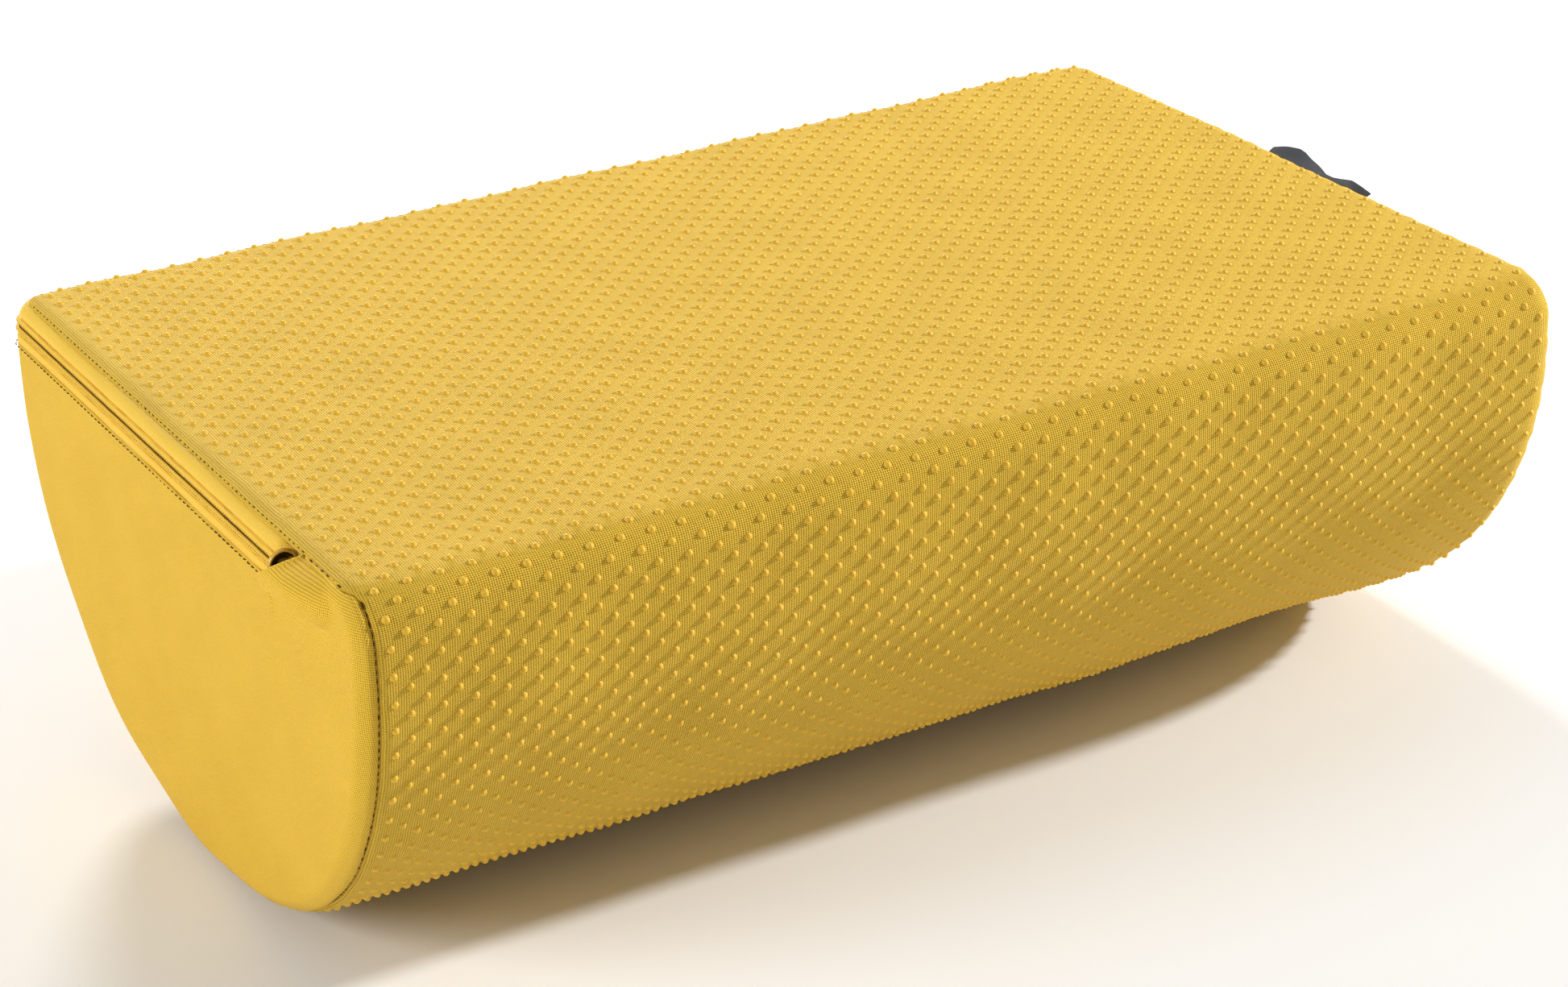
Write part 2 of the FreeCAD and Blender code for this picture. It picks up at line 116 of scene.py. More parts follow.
RUNS = half_runs() + half_runs()[::-1]
BREAKS = np.concatenate([[0.0], np.cumsum([length for length, _ in RUNS])])
TURNS = np.concatenate([[0.0], np.cumsum([length * bend for length, bend in RUNS])])
GIRTH = BREAKS[-1]
TRACE_S = np.linspace(0.0, GIRTH, 8001)
TRACE_TURN = np.interp(TRACE_S, BREAKS, TURNS)
_middle = (TRACE_TURN[1:] + TRACE_TURN[:-1]) / 2
_stride = np.diff(TRACE_S)
TRACE_Y = np.concatenate([[0.0], np.cumsum(-np.cos(_middle) * _stride)])
TRACE_Z = HEIGHT + np.concatenate([[0.0], np.cumsum(-np.sin(_middle) * _stride)])


def section(s):
    """(y, z, turn) at girth s: 0 is the middle of the top, and it grows towards the front."""
    s = np.mod(s, GIRTH)
    return tuple(np.interp(s, TRACE_S, trace) for trace in (TRACE_Y, TRACE_Z, TRACE_TURN))


def depth_inside(y, z):
    """Distance from a point of the section inwards from its outline."""
    y = np.abs(y)
    top = HEIGHT - z
    wall = HALF_DEPTH - y
    crease = CREASE - np.hypot(y - FLAT_HALF, z - CREASE_TOP)
    side = SIDE - np.hypot(y - SIDE_Y, z - SIDE_Z)
    under = BOTTOM - np.hypot(y, z - BOTTOM)
    low = np.where(y < (BOTTOM - z) * math.tan(LEAN), under, side)
    out = np.where(z < SIDE_Z, np.minimum(low, top), np.minimum(wall, top))
    return np.where((z > CREASE_TOP) & (y > FLAT_HALF), crease, out)


def inward(x, s, inset):
    """Points at x, inset from the section's outline at girth s."""
    y, z, turn = section(s)
    return np.stack([x + 0 * y, y + np.sin(turn) * inset, z - np.cos(turn) * inset], -1)


def girth_at_rear(z):
    """Girth of the rear wall's point at a height on the crease or the wall, as a negative number."""
    if z > CREASE_TOP:
        return -(FLAT_HALF + CREASE * math.acos((z - CREASE_TOP) / CREASE))
    return -(FLAT_HALF + CREASE * math.pi / 2 + CREASE_TOP - z)


REAR_UPPER_S = girth_at_rear(UPPER_EDGE)
REAR_SEAM_S = girth_at_rear(ZIP_Z)
REAR_LOWER_S = GIRTH + girth_at_rear(LOWER_EDGE)
LEFT_ROLL = -HALF_LENGTH + LEFT_ROUND
RIGHT_ROLL = HALF_LENGTH - RIGHT_ROUND


def rolled(a):
    """(x, inset, roll angle, side) of cloth position a, which follows the roundings at both ends."""
    left = np.clip((LEFT_ROLL - a) / LEFT_ROUND, 0, math.pi / 2)
    right = np.clip((a - RIGHT_ROLL) / RIGHT_ROUND, 0, math.pi / 2)
    x = np.clip(a, LEFT_ROLL, RIGHT_ROLL) - LEFT_ROUND * np.sin(left) + RIGHT_ROUND * np.sin(right)
    inset = LEFT_ROUND * (1 - np.cos(left)) + RIGHT_ROUND * (1 - np.cos(right))
    return x, inset, left + right, np.sign(right - left)


def left_edge(s):
    """Cloth position of the wrap's left edge: past the rounding beside the zip, at the seam elsewhere."""
    turn = section(s)[2]
    seam_inset = LEFT_ROUND - math.sqrt(LEFT_ROUND ** 2 - (LEFT_ROLL - LEFT_SEAM_X) ** 2)
    cosine = np.clip(np.cos(turn), 0.3, 1.0)
    inset = np.clip(CREASE - (UPPER_EDGE - CREASE_TOP) / cosine, seam_inset, HEIGHT - UPPER_EDGE)
    return LEFT_ROLL - LEFT_ROUND * np.arccos(1 - inset / LEFT_ROUND)


RIGHT_EDGE = RIGHT_ROLL + RIGHT_ROUND * math.asin((RIGHT_SEAM_X - RIGHT_ROLL) / RIGHT_ROUND)


def bump(distance, width):
    """A bell of height 1."""
    return np.exp(-(distance / width) ** 2)


def smooth(share):
    """Smoothstep of a share between 0 and 1."""
    return share * share * (3 - 2 * share)


def wave(a, s, length_a, length_s, phase):
    """A slanting sine wave, by its lengths along a and along s."""
    return np.sin(2 * math.pi * (a / length_a + s / length_s) + phase)


def slack(waves, a, s):
    """The sum of a table of waves."""
    return sum(height * wave(a, s, *form) for height, *form in waves)


# (height, length along a, length along s, phase) of the faint waves in each panel
WRAP_WAVES = [(0.20, 97, 210, 0.7), (0.16, 61, -135, 2.1), (0.1, 43, 71, 4.0)]
PANEL_WAVES = [(0.22, 83, 120, 0.6), (0.15, -52, 66, 1.9)]
TOP_SEAM_DIP, LEFT_SEAM_DIP, RIGHT_SEAM_DIP = 0.5, 1.5, 1.6
FRONT_HOLLOW = 2.2


def wrap_relief(a, s):
    """How far the tensioned wrap stands off the foam's smooth form."""
    edge = left_edge(s)
    from_left = a - edge
    from_right = RIGHT_EDGE - a
    on_top = np.cos(section(s)[2]) > 0.8
    seam_dip = np.where(on_top, TOP_SEAM_DIP, LEFT_SEAM_DIP) * bump(from_left, 1.2)
    seam_dip += RIGHT_SEAM_DIP * bump(from_right, 1.8)
    pucker = 0.16 * np.exp(-from_left / 6) * wave(0, s, 1, 6.3, 0.4)
    pucker += 0.28 * np.exp(-from_right / 9) * (wave(0, s, 1, 11.5, 1.0) + 0.6 * wave(0, s, 1, 7.1, 2.0))
    hollow = FRONT_HOLLOW * bump(a - 150, 42) * bump(s - 300, 60)
    reach = np.clip(from_left / 16, 0, 1) * np.clip(from_right / 70, 0, 1)
    crease = FRONT_CREASE * bump(s - (BREAKS[1] + BREAKS[2]) / 2, 7.5) * smooth(reach)
    return slack(WRAP_WAVES, a, s) + pucker + crease - seam_dip - hollow


def wrap_surface(a, s, lift=0.0):
    """Points and outward normals of the wrap at cloth position (a, s), lifted off it by a distance."""
    x, inset, roll, side = rolled(a)
    turn = section(s)[2]
    normal = np.stack([side * np.sin(roll), -np.sin(turn) * np.cos(roll), np.cos(turn) * np.cos(roll)], -1)
    return inward(x, s, inset) + normal * (wrap_relief(a, s) + lift)[..., None], normal


# ---------------- meshes

def piece(name, points, faces, material, body="cushion", slot=None, cloth=None, top_light=None, replaces=()):
    """A mesh object from millimetre points, riding on a body."""
    mesh = bpy.data.meshes.new(name)
    mesh.from_pydata((np.asarray(points, float) * MM).tolist(), [], [list(f) for f in faces])
    if cloth is not None:
        layer = mesh.attributes.new("cloth", "FLOAT_VECTOR", "POINT")
        layer.data.foreach_set("vector", np.asarray(cloth, np.float32).ravel())
    # An optional second attribute carries painted light that lifts the weave's painted gap shade.
    if top_light is not None:
        layer = mesh.attributes.new("top_light", "FLOAT_VECTOR", "POINT")
        layer.data.foreach_set("vector", np.repeat(np.asarray(top_light, np.float32), 3))
    mesh.polygons.foreach_set("use_smooth", [True] * len(mesh.polygons))
    mesh.materials.append(material)
    mesh.update()
    obj = bpy.data.objects.new(name, mesh)
    bpy.context.scene.collection.objects.link(obj)
    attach(obj, body)
    if replaces:
        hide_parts(*replaces)
    return obj


def grid_faces(rows, columns, keep=None):
    """Quads of a row-major grid of points; keep is an optional mask of its cells."""
    i, j = np.meshgrid(np.arange(rows - 1), np.arange(columns - 1), indexing="ij")
    if keep is not None:
        i, j = i[keep], j[keep]
    corner = i.ravel() * columns + j.ravel()
    return np.stack([corner, corner + 1, corner + columns + 1, corner + columns], 1)


def ring_faces(rings, count):
    """Quads between successive looped rings of count points."""
    return [(ring * count + k, ring * count + (k + 1) % count,
             (ring + 1) * count + (k + 1) % count, (ring + 1) * count + k)
            for ring in range(rings - 1) for k in range(count)]


def end_faces(rings, count):
    """The first and the last ring as flat ends."""
    return [tuple(range(count))[::-1], tuple((rings - 1) * count + k for k in range(count))]


def thicken(obj, depth=FABRIC_THICK):
    """Give a sheet its thickness, on the inner side."""
    solid = obj.modifiers.new("thickness", "SOLIDIFY")
    solid.thickness = depth * MM
    solid.offset = -1
    return obj


def unpacked(mesh):
    """Points and faces of a bmesh, which is then freed."""
    mesh.verts.index_update()
    points = np.array([vertex.co for vertex in mesh.verts])
    faces = [[vertex.index for vertex in face.verts] for face in mesh.faces]
    mesh.free()
    return points, faces


def unit(vectors):
    """Vectors at length 1."""
    return vectors / np.maximum(np.linalg.norm(vectors, axis=-1, keepdims=True), 1e-9)


def scatter(template, faces, origins, along, normals, scales=None):
    """Copies of a small template, whose axes are along the row, across it and off the surface."""
    normals = unit(normals)
    across = unit(np.cross(normals, along))
    along = np.cross(across, normals)
    local = np.asarray(template, float)[None] * (1.0 if scales is None else scales[:, None, None])
    points = (origins[:, None] + local[..., 0:1] * along[:, None] + local[..., 1:2] * across[:, None]
              + local[..., 2:3] * normals[:, None])
    count = len(template)
    copies = [[[k * count + index for index in face] for face in faces] for k in range(len(origins))]
    return points.reshape(-1, 3), [face for copy in copies for face in copy]


def lathe(outline, sides):
    """Template of a small round form about its third axis, from (radius, height) points."""
    points = []
    for radius, height in outline[:-1]:
        for k in range(sides):
            angle = 2 * math.pi * k / sides
            points.append((radius * math.cos(angle), radius * math.sin(angle), height))
    points.append((0.0, 0.0, outline[-1][1]))
    rings = len(outline) - 1
    last = (rings - 1) * sides
    tip = len(points) - 1
    faces = ring_faces(rings, sides)
    faces += [(last + k, last + (k + 1) % sides, tip) for k in range(sides)]
    return points, faces


def strand(length, radius, sag=0.0, sides=7, rings=7):
    """Template of one stitch: a thread capsule along the first axis, whose ends dip by sag."""
    points = []
    for ring in range(rings):
        angle = math.pi * (0.06 + 0.88 * ring / (rings - 1))
        middle = -math.cos(angle) * length / 2
        girth = radius * math.sin(angle) ** 0.5
        drop = -sag * (2 * middle / length) ** 2
        for k in range(sides):
            turn = 2 * math.pi * k / sides
            points.append((middle, girth * math.cos(turn), drop + girth * math.sin(turn)))
    return points, ring_faces(rings, sides) + end_faces(rings, sides)


def spaced(points, normals, pitch, start=0.0):
    """Evenly spaced places along a polyline: points, directions and normals."""
    steps = np.linalg.norm(np.diff(points, axis=0), axis=1)
    run = np.concatenate([[0.0], np.cumsum(steps)])
    at = np.arange(start + pitch / 2, run[-1] - pitch / 4, pitch)

    def sample(values, places):
        return np.stack([np.interp(places, run, values[:, k]) for k in range(3)], 1)

    ahead, behind = sample(points, at + 0.2), sample(points, at - 0.2)
    return sample(points, at), unit(ahead - behind), unit(sample(normals, at))


def stitches(name, rows, pitch, length, radius, material, sag, replaces=()):
    """Rows of separate thread stitches; each row is (points, normals)."""
    template, faces = strand(length, radius, sag)
    all_points, all_faces = [], []
    for points, normals in rows:
        where, along, normal = spaced(points, normals, pitch)
        wobble = random.normal(0, 0.06, (len(where), 1))
        along = unit(along + np.cross(along, normal) * wobble)
        size = 1 + random.normal(0, 0.05, len(where))
        new_points, new_faces = scatter(template, faces, where, along, normal, size)
        offset = sum(len(block) for block in all_points)
        all_points.append(new_points)
        all_faces += [[index + offset for index in face] for face in new_faces]
    return piece(name, np.concatenate(all_points), all_faces, material, slot="thread", replaces=replaces)


def tube(points, radius, sides=10):
    """A round rod along a polyline, capped at both ends."""
    points = np.asarray(points, float)
    along = unit(np.gradient(points, axis=0))
    guide = np.array([0.3, -0.2, 1.0])
    first = unit(np.cross(along, guide))
    second = np.cross(along, first)
    turns = 2 * math.pi * np.arange(sides) / sides
    radii = np.broadcast_to(radius, len(points))[:, None, None]
    rings = points[:, None] + radii * (np.cos(turns)[None, :, None] * first[:, None]
                                       + np.sin(turns)[None, :, None] * second[:, None])
    count = len(points)
    return rings.reshape(-1, 3), ring_faces(count, sides) + end_faces(count, sides)


# ---------------- materials

def paint(red, green, blue):
    """Linear colour from 0-255 screen values."""
    def linear(value):
        value /= 255
        return value / 12.92 if value <= 0.04045 else ((value + 0.055) / 1.055) ** 2.4
    return (linear(red), linear(green), linear(blue), 1.0)


# The deep colours of the woven fabrics (dotted, plain, tape and label ribbon) are painted shade for the
# gaps between their threads.
YELLOW = paint(242, 199, 62)
YELLOW_GAP_SHADE = paint(122, 82, 1)
PLAIN_GAP_SHADE = paint(170, 118, 8)
TAPE_YELLOW = paint(242, 201, 74)
TAPE_GAP_SHADE = paint(176, 124, 10)
THREAD_YELLOW = paint(206, 158, 40)
# Painted shade: the seam threads are dark brown to stand in for their shaded stitch holes.
STITCH_HOLE_SHADE = paint(104, 68, 4)
CHARCOAL = paint(62, 65, 70)
CHARCOAL_GAP_SHADE = paint(30, 31, 35)
FOAM = paint(236, 226, 196)


class Graph:
    """A material's node tree with short calls for the nodes used here."""

    def __init__(self, name, roughness, **shader):
        self.material = bpy.data.materials.new(name)
        self.material.use_nodes = True
        self.nodes = self.material.node_tree.nodes
        self.links = self.material.node_tree.links
        self.shader = self.nodes["Principled BSDF"]
        self.shader.inputs["Roughness"].default_value = roughness
        for socket, value in shader.items():
            self.shader.inputs[socket.replace("_", " ")].default_value = value

    def feed(self, socket, value):
        if isinstance(value, bpy.types.NodeSocket):
            self.links.new(value, socket)
        else:
            socket.default_value = value

    def math(self, operation, *values):
        node = self.nodes.new("ShaderNodeMath")
        node.operation = operation
        for socket, value in zip(node.inputs, values):
            self.feed(socket, value)
        return node.outputs[0]

    def attribute(self, name):
        node = self.nodes.new("ShaderNodeAttribute")
        node.attribute_name = name
        split = self.nodes.new("ShaderNodeSeparateXYZ")
        self.links.new(node.outputs["Vector"], split.inputs[0])
        return split.outputs[0], split.outputs[1], node.outputs["Vector"]

    def place(self):
        return self.nodes.new("ShaderNodeTexCoord").outputs["Object"]

    def noise(self, vector, scale, detail=2.0, roughness=0.5):
        node = self.nodes.new("ShaderNodeTexNoise")
        self.feed(node.inputs["Vector"], vector)
        node.inputs["Scale"].default_value = scale
        node.inputs["Detail"].default_value = detail
        node.inputs["Roughness"].default_value = roughness
        return node.outputs["Fac"]

    def ramp(self, value, low, high, out_low=0.0, out_high=1.0):
        node = self.nodes.new("ShaderNodeMapRange")
        node.interpolation_type = "SMOOTHSTEP"
        for socket, number in zip(node.inputs, (value, low, high, out_low, out_high)):
            self.feed(socket, number)
        return node.outputs[0]

    def mix(self, factor, first, second):
        node = self.nodes.new("ShaderNodeMix")
        node.data_type = "RGBA"
        self.feed(node.inputs["Factor"], factor)
        self.feed(node.inputs[6], first)
        self.feed(node.inputs[7], second)
        return node.outputs[2]

    def relief(self, height, distance):
        node = self.nodes.new("ShaderNodeBump")
        node.inputs["Strength"].default_value = 1.0
        node.inputs["Distance"].default_value = distance * MM
        self.feed(node.inputs["Height"], height)
        self.links.new(node.outputs[0], self.shader.inputs["Normal"])

    def finish(self, colour, roughness=None):
        self.feed(self.shader.inputs["Base Color"], colour)
        if roughness is not None:
            self.feed(self.shader.inputs["Roughness"], roughness)
        return self.material


def weave_height(graph, u, v):
    """Height 0..1 of a plain weave whose threads are one unit apart in u and in v."""
    def rounding(position):
        across = graph.math("SUBTRACT", graph.math("MULTIPLY", graph.math("FRACT", position), 2.0), 1.0)
        return graph.math("SUBTRACT", 1.0, graph.math("MULTIPLY", across, across))

    def sign(position):
        odd = graph.math("FLOORED_MODULO", graph.math("FLOOR", position), 2.0)
        return graph.math("SUBTRACT", 1.0, graph.math("MULTIPLY", odd, 2.0))

    def crimp(position, other):
        swing = graph.math("SINE", graph.math("MULTIPLY", position, math.pi))
        return graph.math("MULTIPLY", swing, sign(other))

    warp = graph.math("ADD", graph.math("MULTIPLY", rounding(u), 0.6),
                      graph.math("MULTIPLY", crimp(v, u), 0.4))
    weft = graph.math("SUBTRACT", graph.math("MULTIPLY", rounding(v), 0.6),
                      graph.math("MULTIPLY", crimp(u, v), 0.4))
    return graph.math("MAXIMUM", warp, weft)


def woven(name, pitch_u, pitch_v, light, deep, depth, roughness=0.82, hole=(0.1, 0.62)):
    """Plain-woven cloth on the cloth attribute, with slubs, and with painted shade in the gaps between its
    threads, which a second attribute lifts as painted light on the top.
    """
    graph = Graph(name, roughness, Sheen_Weight=0.06, Sheen_Roughness=0.4, Specular_IOR_Level=0.2)
    u, v, vector = graph.attribute("cloth")
    # Painted light that lifts the gap shade where the wrap faces up.
    top_light = graph.attribute("top_light")[0]
    drift = graph.math("MULTIPLY", graph.math("SUBTRACT", graph.noise(vector, 0.05), 0.5), 1.6)
    u = graph.math("DIVIDE", graph.math("ADD", u, drift), pitch_u)
    v = graph.math("DIVIDE", graph.math("ADD", v, drift), pitch_v)
    height = weave_height(graph, u, v)
    slub = graph.noise(vector, 1.4, 3.0)
    broad = graph.noise(vector, 0.035, 3.0)
    # Painted shade in the gaps between threads, lifted by the painted light of the second attribute; the
    # slub and broad noise below are the yarn's own uneven tone.
    lit = graph.math("MAXIMUM", graph.ramp(height, hole[0], hole[1]), top_light)
    shade = graph.math("MULTIPLY", lit, graph.ramp(slub, 0.2, 0.75, 0.82, 1.0))
    shade = graph.math("MULTIPLY", shade, graph.ramp(broad, 0.3, 0.7, 0.93, 1.0))
    fuzz = graph.math("ADD", height, graph.math("MULTIPLY", slub, 0.35))
    graph.relief(fuzz, depth)
    return graph.finish(graph.mix(shade, deep, light), graph.ramp(height, 0.0, 0.9, 0.95, roughness - 0.1))


def moulded(name, light, deep, roughness, grain=2.0, depth=0.03, **shader):
    """A smooth moulded or painted finish with faint mottling and scuffs."""
    graph = Graph(name, roughness, **shader)
    mottle = graph.noise(graph.place(), grain / MM, 3.0)
    scuff = graph.noise(graph.place(), 0.15 / MM, 4.0, 0.65)
    graph.relief(mottle, depth)
    tone = graph.ramp(graph.math("ADD", graph.math("MULTIPLY", mottle, 0.5),
                                 graph.math("MULTIPLY", scuff, 0.5)), 0.3, 0.7)
    return graph.finish(graph.mix(tone, deep, light),
                        graph.ramp(scuff, 0.3, 0.8, roughness, roughness + 0.12))


def twisted(name, light, deep):
    """Sewing thread: fine slanting plies."""
    graph = Graph(name, 0.7, Specular_IOR_Level=0.12)
    ply = graph.nodes.new("ShaderNodeTexWave")
    ply.inputs["Scale"].default_value = 0.9 / MM
    ply.inputs["Distortion"].default_value = 1.0
    ply.bands_direction = "DIAGONAL"
    graph.links.new(graph.place(), ply.inputs["Vector"])
    graph.relief(ply.outputs["Fac"], 0.05)
    return graph.finish(graph.mix(ply.outputs["Fac"], deep, light),
                        graph.ramp(ply.outputs["Fac"], 0, 1, 0.7, 0.5))


def foam_material():
    """Cut polyurethane foam: open cells of two sizes."""
    graph = Graph("foam", 0.95, Specular_IOR_Level=0.1)
    cells = graph.nodes.new("ShaderNodeTexVoronoi")
    cells.inputs["Scale"].default_value = 0.8 / MM
    graph.links.new(graph.place(), cells.inputs["Vector"])
    fine = graph.noise(graph.place(), 2.5 / MM, 4.0)
    pores = graph.math("ADD", cells.outputs["Distance"], graph.math("MULTIPLY", fine, 0.5))
    graph.relief(pores, 0.4)
    return graph.finish(graph.mix(graph.ramp(pores, 0.2, 0.9), paint(190, 170, 120), FOAM),
                        graph.ramp(pores, 0, 1, 1.0, 0.85))


def floor_material():
    """Plain pale backdrop."""
    graph = Graph("studio_floor", 0.7, Specular_IOR_Level=0.2)
    haze = graph.noise(graph.place(), 3.0, 2.0)
    return graph.finish(graph.mix(haze, (0.86, 0.86, 0.855, 1), (0.9, 0.9, 0.895, 1)))


DOTTED = woven("dotted_fabric", 0.815, 0.615, YELLOW, YELLOW_GAP_SHADE, 0.34, hole=(0.16, 0.7))
PLAIN = woven("plain_fabric", 0.65, 0.77, YELLOW, PLAIN_GAP_SHADE, 0.3, hole=(0.14, 0.68))
TAPE = woven("zip_tape_weave", 0.42, 0.5, TAPE_YELLOW, TAPE_GAP_SHADE, 0.07, 0.7)
RIBBON = woven("label_ribbon_weave", 0.3, 0.34, CHARCOAL, CHARCOAL_GAP_SHADE, 0.05, 0.55)
GRIP = moulded("grip_dot", paint(232, 188, 54), paint(222, 174, 40), 0.5, 1.2, 0.03,
               Coat_Weight=0.05, Coat_Roughness=0.35, Specular_IOR_Level=0.35)
SLIDER = moulded("zip_slider_enamel", paint(244, 200, 72), paint(234, 184, 52), 0.26, 0.6, 0.03,
                 Coat_Weight=0.6, Coat_Roughness=0.08)
# Painted shade: dark brown for the shade inside the slider's bore and round its post.
SLIDER_INSIDE_SHADE = moulded("zip_slider_inside_shade", paint(58, 38, 6), paint(30, 18, 3), 0.6)
STOP = moulded("zip_stop_metal", paint(206, 168, 70), paint(176, 140, 52), 0.35, Metallic=1.0)
COIL = moulded("zip_coil_nylon", paint(226, 178, 52), paint(170, 120, 18), 0.38, 1.5, 0.03)
THREAD = twisted("sewing_thread", THREAD_YELLOW, paint(150, 104, 16))
# Seam thread whose dark brown is painted shade of the stitch holes.
SEAM_THREAD = twisted("seam_thread", STITCH_HOLE_SHADE, paint(52, 32, 3))
FOAM_CELLS = foam_material()


# ---------------- camera, floor and light

# The camera's place and lens come from fitting a pinhole camera to the photographed outline.
CAMERA_AZIMUTH = math.radians(-29.73)
CAMERA_ELEVATION = math.radians(25.11)
CAMERA_ROLL = math.radians(-1.636)
CAMERA_DISTANCE = 1.2859
CAMERA_SHIFT = (0.00015, -0.00177)
CAMERA_LENS = 84.6
SENSOR = 36.0
WORLD_STRENGTH = 0.36
FLOOR_SIZE = 9


def make_camera():
    """The photograph's view of the cushion."""
    back = Vector((math.sin(CAMERA_AZIMUTH) * math.cos(CAMERA_ELEVATION),
                   -math.cos(CAMERA_AZIMUTH) * math.cos(CAMERA_ELEVATION), math.sin(CAMERA_ELEVATION)))
    level = (-back).cross(Vector((0, 0, 1))).normalized()
    upright = level.cross(-back)
    right = math.cos(CAMERA_ROLL) * level + math.sin(CAMERA_ROLL) * upright
    up = -math.sin(CAMERA_ROLL) * level + math.cos(CAMERA_ROLL) * upright
    centre = (cad_low + cad_high) / 2
    data = bpy.data.cameras.new("camera")
    data.sensor_width = SENSOR
    data.lens = CAMERA_LENS
    data.clip_start = 0.05
    camera = bpy.data.objects.new("camera", data)
    rotation = Matrix((right, up, back)).transposed()
    place = centre + back * CAMERA_DISTANCE + right * CAMERA_SHIFT[0] + up * CAMERA_SHIFT[1]
    camera.matrix_world = Matrix.Translation(place) @ rotation.to_4x4()
    bpy.context.scene.collection.objects.link(camera)
    bpy.context.scene.camera = camera


def area_light(name, place, target, size, power):
    """A round white area light that looks at a target."""
    data = bpy.data.lights.new(name, "AREA")
    data.shape = "DISK"
    data.size = size
    data.energy = power
    lamp = bpy.data.objects.new(name, data)
    lamp.location = place
    lamp.rotation_euler = (Vector(target) - Vector(place)).to_track_quat("-Z", "Y").to_euler()
    bpy.context.scene.collection.objects.link(lamp)


def studio():
    """A small key from the right, a low light from behind that shades the dots, and a soft left fill."""
    world = bpy.data.worlds.new("studio")
    world.use_nodes = True
    background = world.node_tree.nodes["Background"]
    background.inputs["Color"].default_value = (1.0, 1.0, 1.0, 1)
    background.inputs["Strength"].default_value = WORLD_STRENGTH
    bpy.context.scene.world = world
    area_light("key", (2.6, -0.75, 1.3), (0.05, 0, 0.1), 0.18, 101)
    area_light("rear", (0.35, 1.75, 0.85), (0, 0, 0.1), 0.4, 27)
    area_light("left_fill", (-1.7, 0.1, 0.75), (-0.2, 0, 0.08), 0.7, 17.5)
    bpy.context.scene.view_settings.view_transform = "Standard"


def make_floor(level):
    """The backdrop, just under the lowest dots."""
    bpy.ops.mesh.primitive_plane_add(size=FLOOR_SIZE, location=(0, 0, level * MM))
    floor = bpy.context.object
    floor.name = "studio_floor"
    floor.data.materials.append(floor_material())


# ---------------- foam

FOAM_INSET = 3.2
FOAM_END_INSET = 5.2
FOAM_CORNER = 6.0


def foam_core():
    """The cut foam block under the cover."""
    s = np.linspace(0, GIRTH, 221)[:-1]
    rings = []
    half = HALF_LENGTH - FOAM_END_INSET
    for side in (-1, 1):
        angles = np.linspace(math.pi / 2, 0, 6)
        for angle in (angles if side < 0 else angles[::-1]):
            inset = FOAM_INSET + FOAM_CORNER * (1 - math.cos(angle))
            x = side * (half - FOAM_CORNER + FOAM_CORNER * math.sin(angle))
            rings.append(inward(x, s, inset))
    columns = len(s)
    points = np.concatenate(rings)
    faces = ring_faces(len(rings), columns)
    for ring, flip in ((0, True), (len(rings) - 1, False)):
        middle = len(points)
        points = np.concatenate([points, [[points[ring * columns][0], *PANEL_CENTRE]]])
        for k in range(columns):
            face = (ring * columns + k, ring * columns + (k + 1) % columns, middle)
            faces.append(face[::-1] if flip else face)
    foam = piece("foam_block", points, faces, FOAM_CELLS, slot="foam", replaces=["foam_core"])


# ---------------- the dotted wrap

CELL = 3.0
# Painted light: how far the weave's gap shade is lifted where the wrap faces up, so the top reads lighter
# than the front.
TOP_PAINTED_LIGHT = 0.6
LEFT_EDGE_COLUMNS = [0, 0.4, 0.8, 1.3, 2.0, 2.9, 4.1, 5.6, 7.5]
RIGHT_EDGE_COLUMNS = [9.4, 8.0, 6.8, 5.6, 4.5, 3.5, 2.6, 1.8, 1.1, 0.5, 0.0]


def stretch(start, end, cell=CELL):
    """Even steps of about one cell from start to end."""
    return np.linspace(start, end, max(2, int(round(abs(end - start) / cell)) + 1))


def wrap_rows():
    """Girths of the wrap's grid, finer round the creases and the zip."""
    stops = [REAR_SEAM_S, REAR_UPPER_S, -FLAT_HALF, *BREAKS[1:9], REAR_LOWER_S, REAR_SEAM_S + GIRTH]
    cells = [2.4, 1.8, CELL, 1.9, 2.2, CELL, CELL, CELL, CELL, 2.0, 2.0, 2.0]
    stops = sorted(stops)
    rows = [stretch(low, high, cell) for low, high, cell in zip(stops, stops[1:], cells)]
    return np.unique(np.round(np.concatenate(rows), 6))


def wrap_columns():
    """Cloth positions of the wrap's grid, finer beside both end seams."""
    near_seam = LEFT_ROLL - 3.1 + np.array(LEFT_EDGE_COLUMNS)
    straight = stretch(near_seam[-1] + 2.2, ZIP_END_X)
    beyond = stretch(ZIP_END_X, RIGHT_ROLL)[1:]
    roll = RIGHT_EDGE - np.array(RIGHT_EDGE_COLUMNS)
    return np.concatenate([near_seam, straight, beyond, roll])


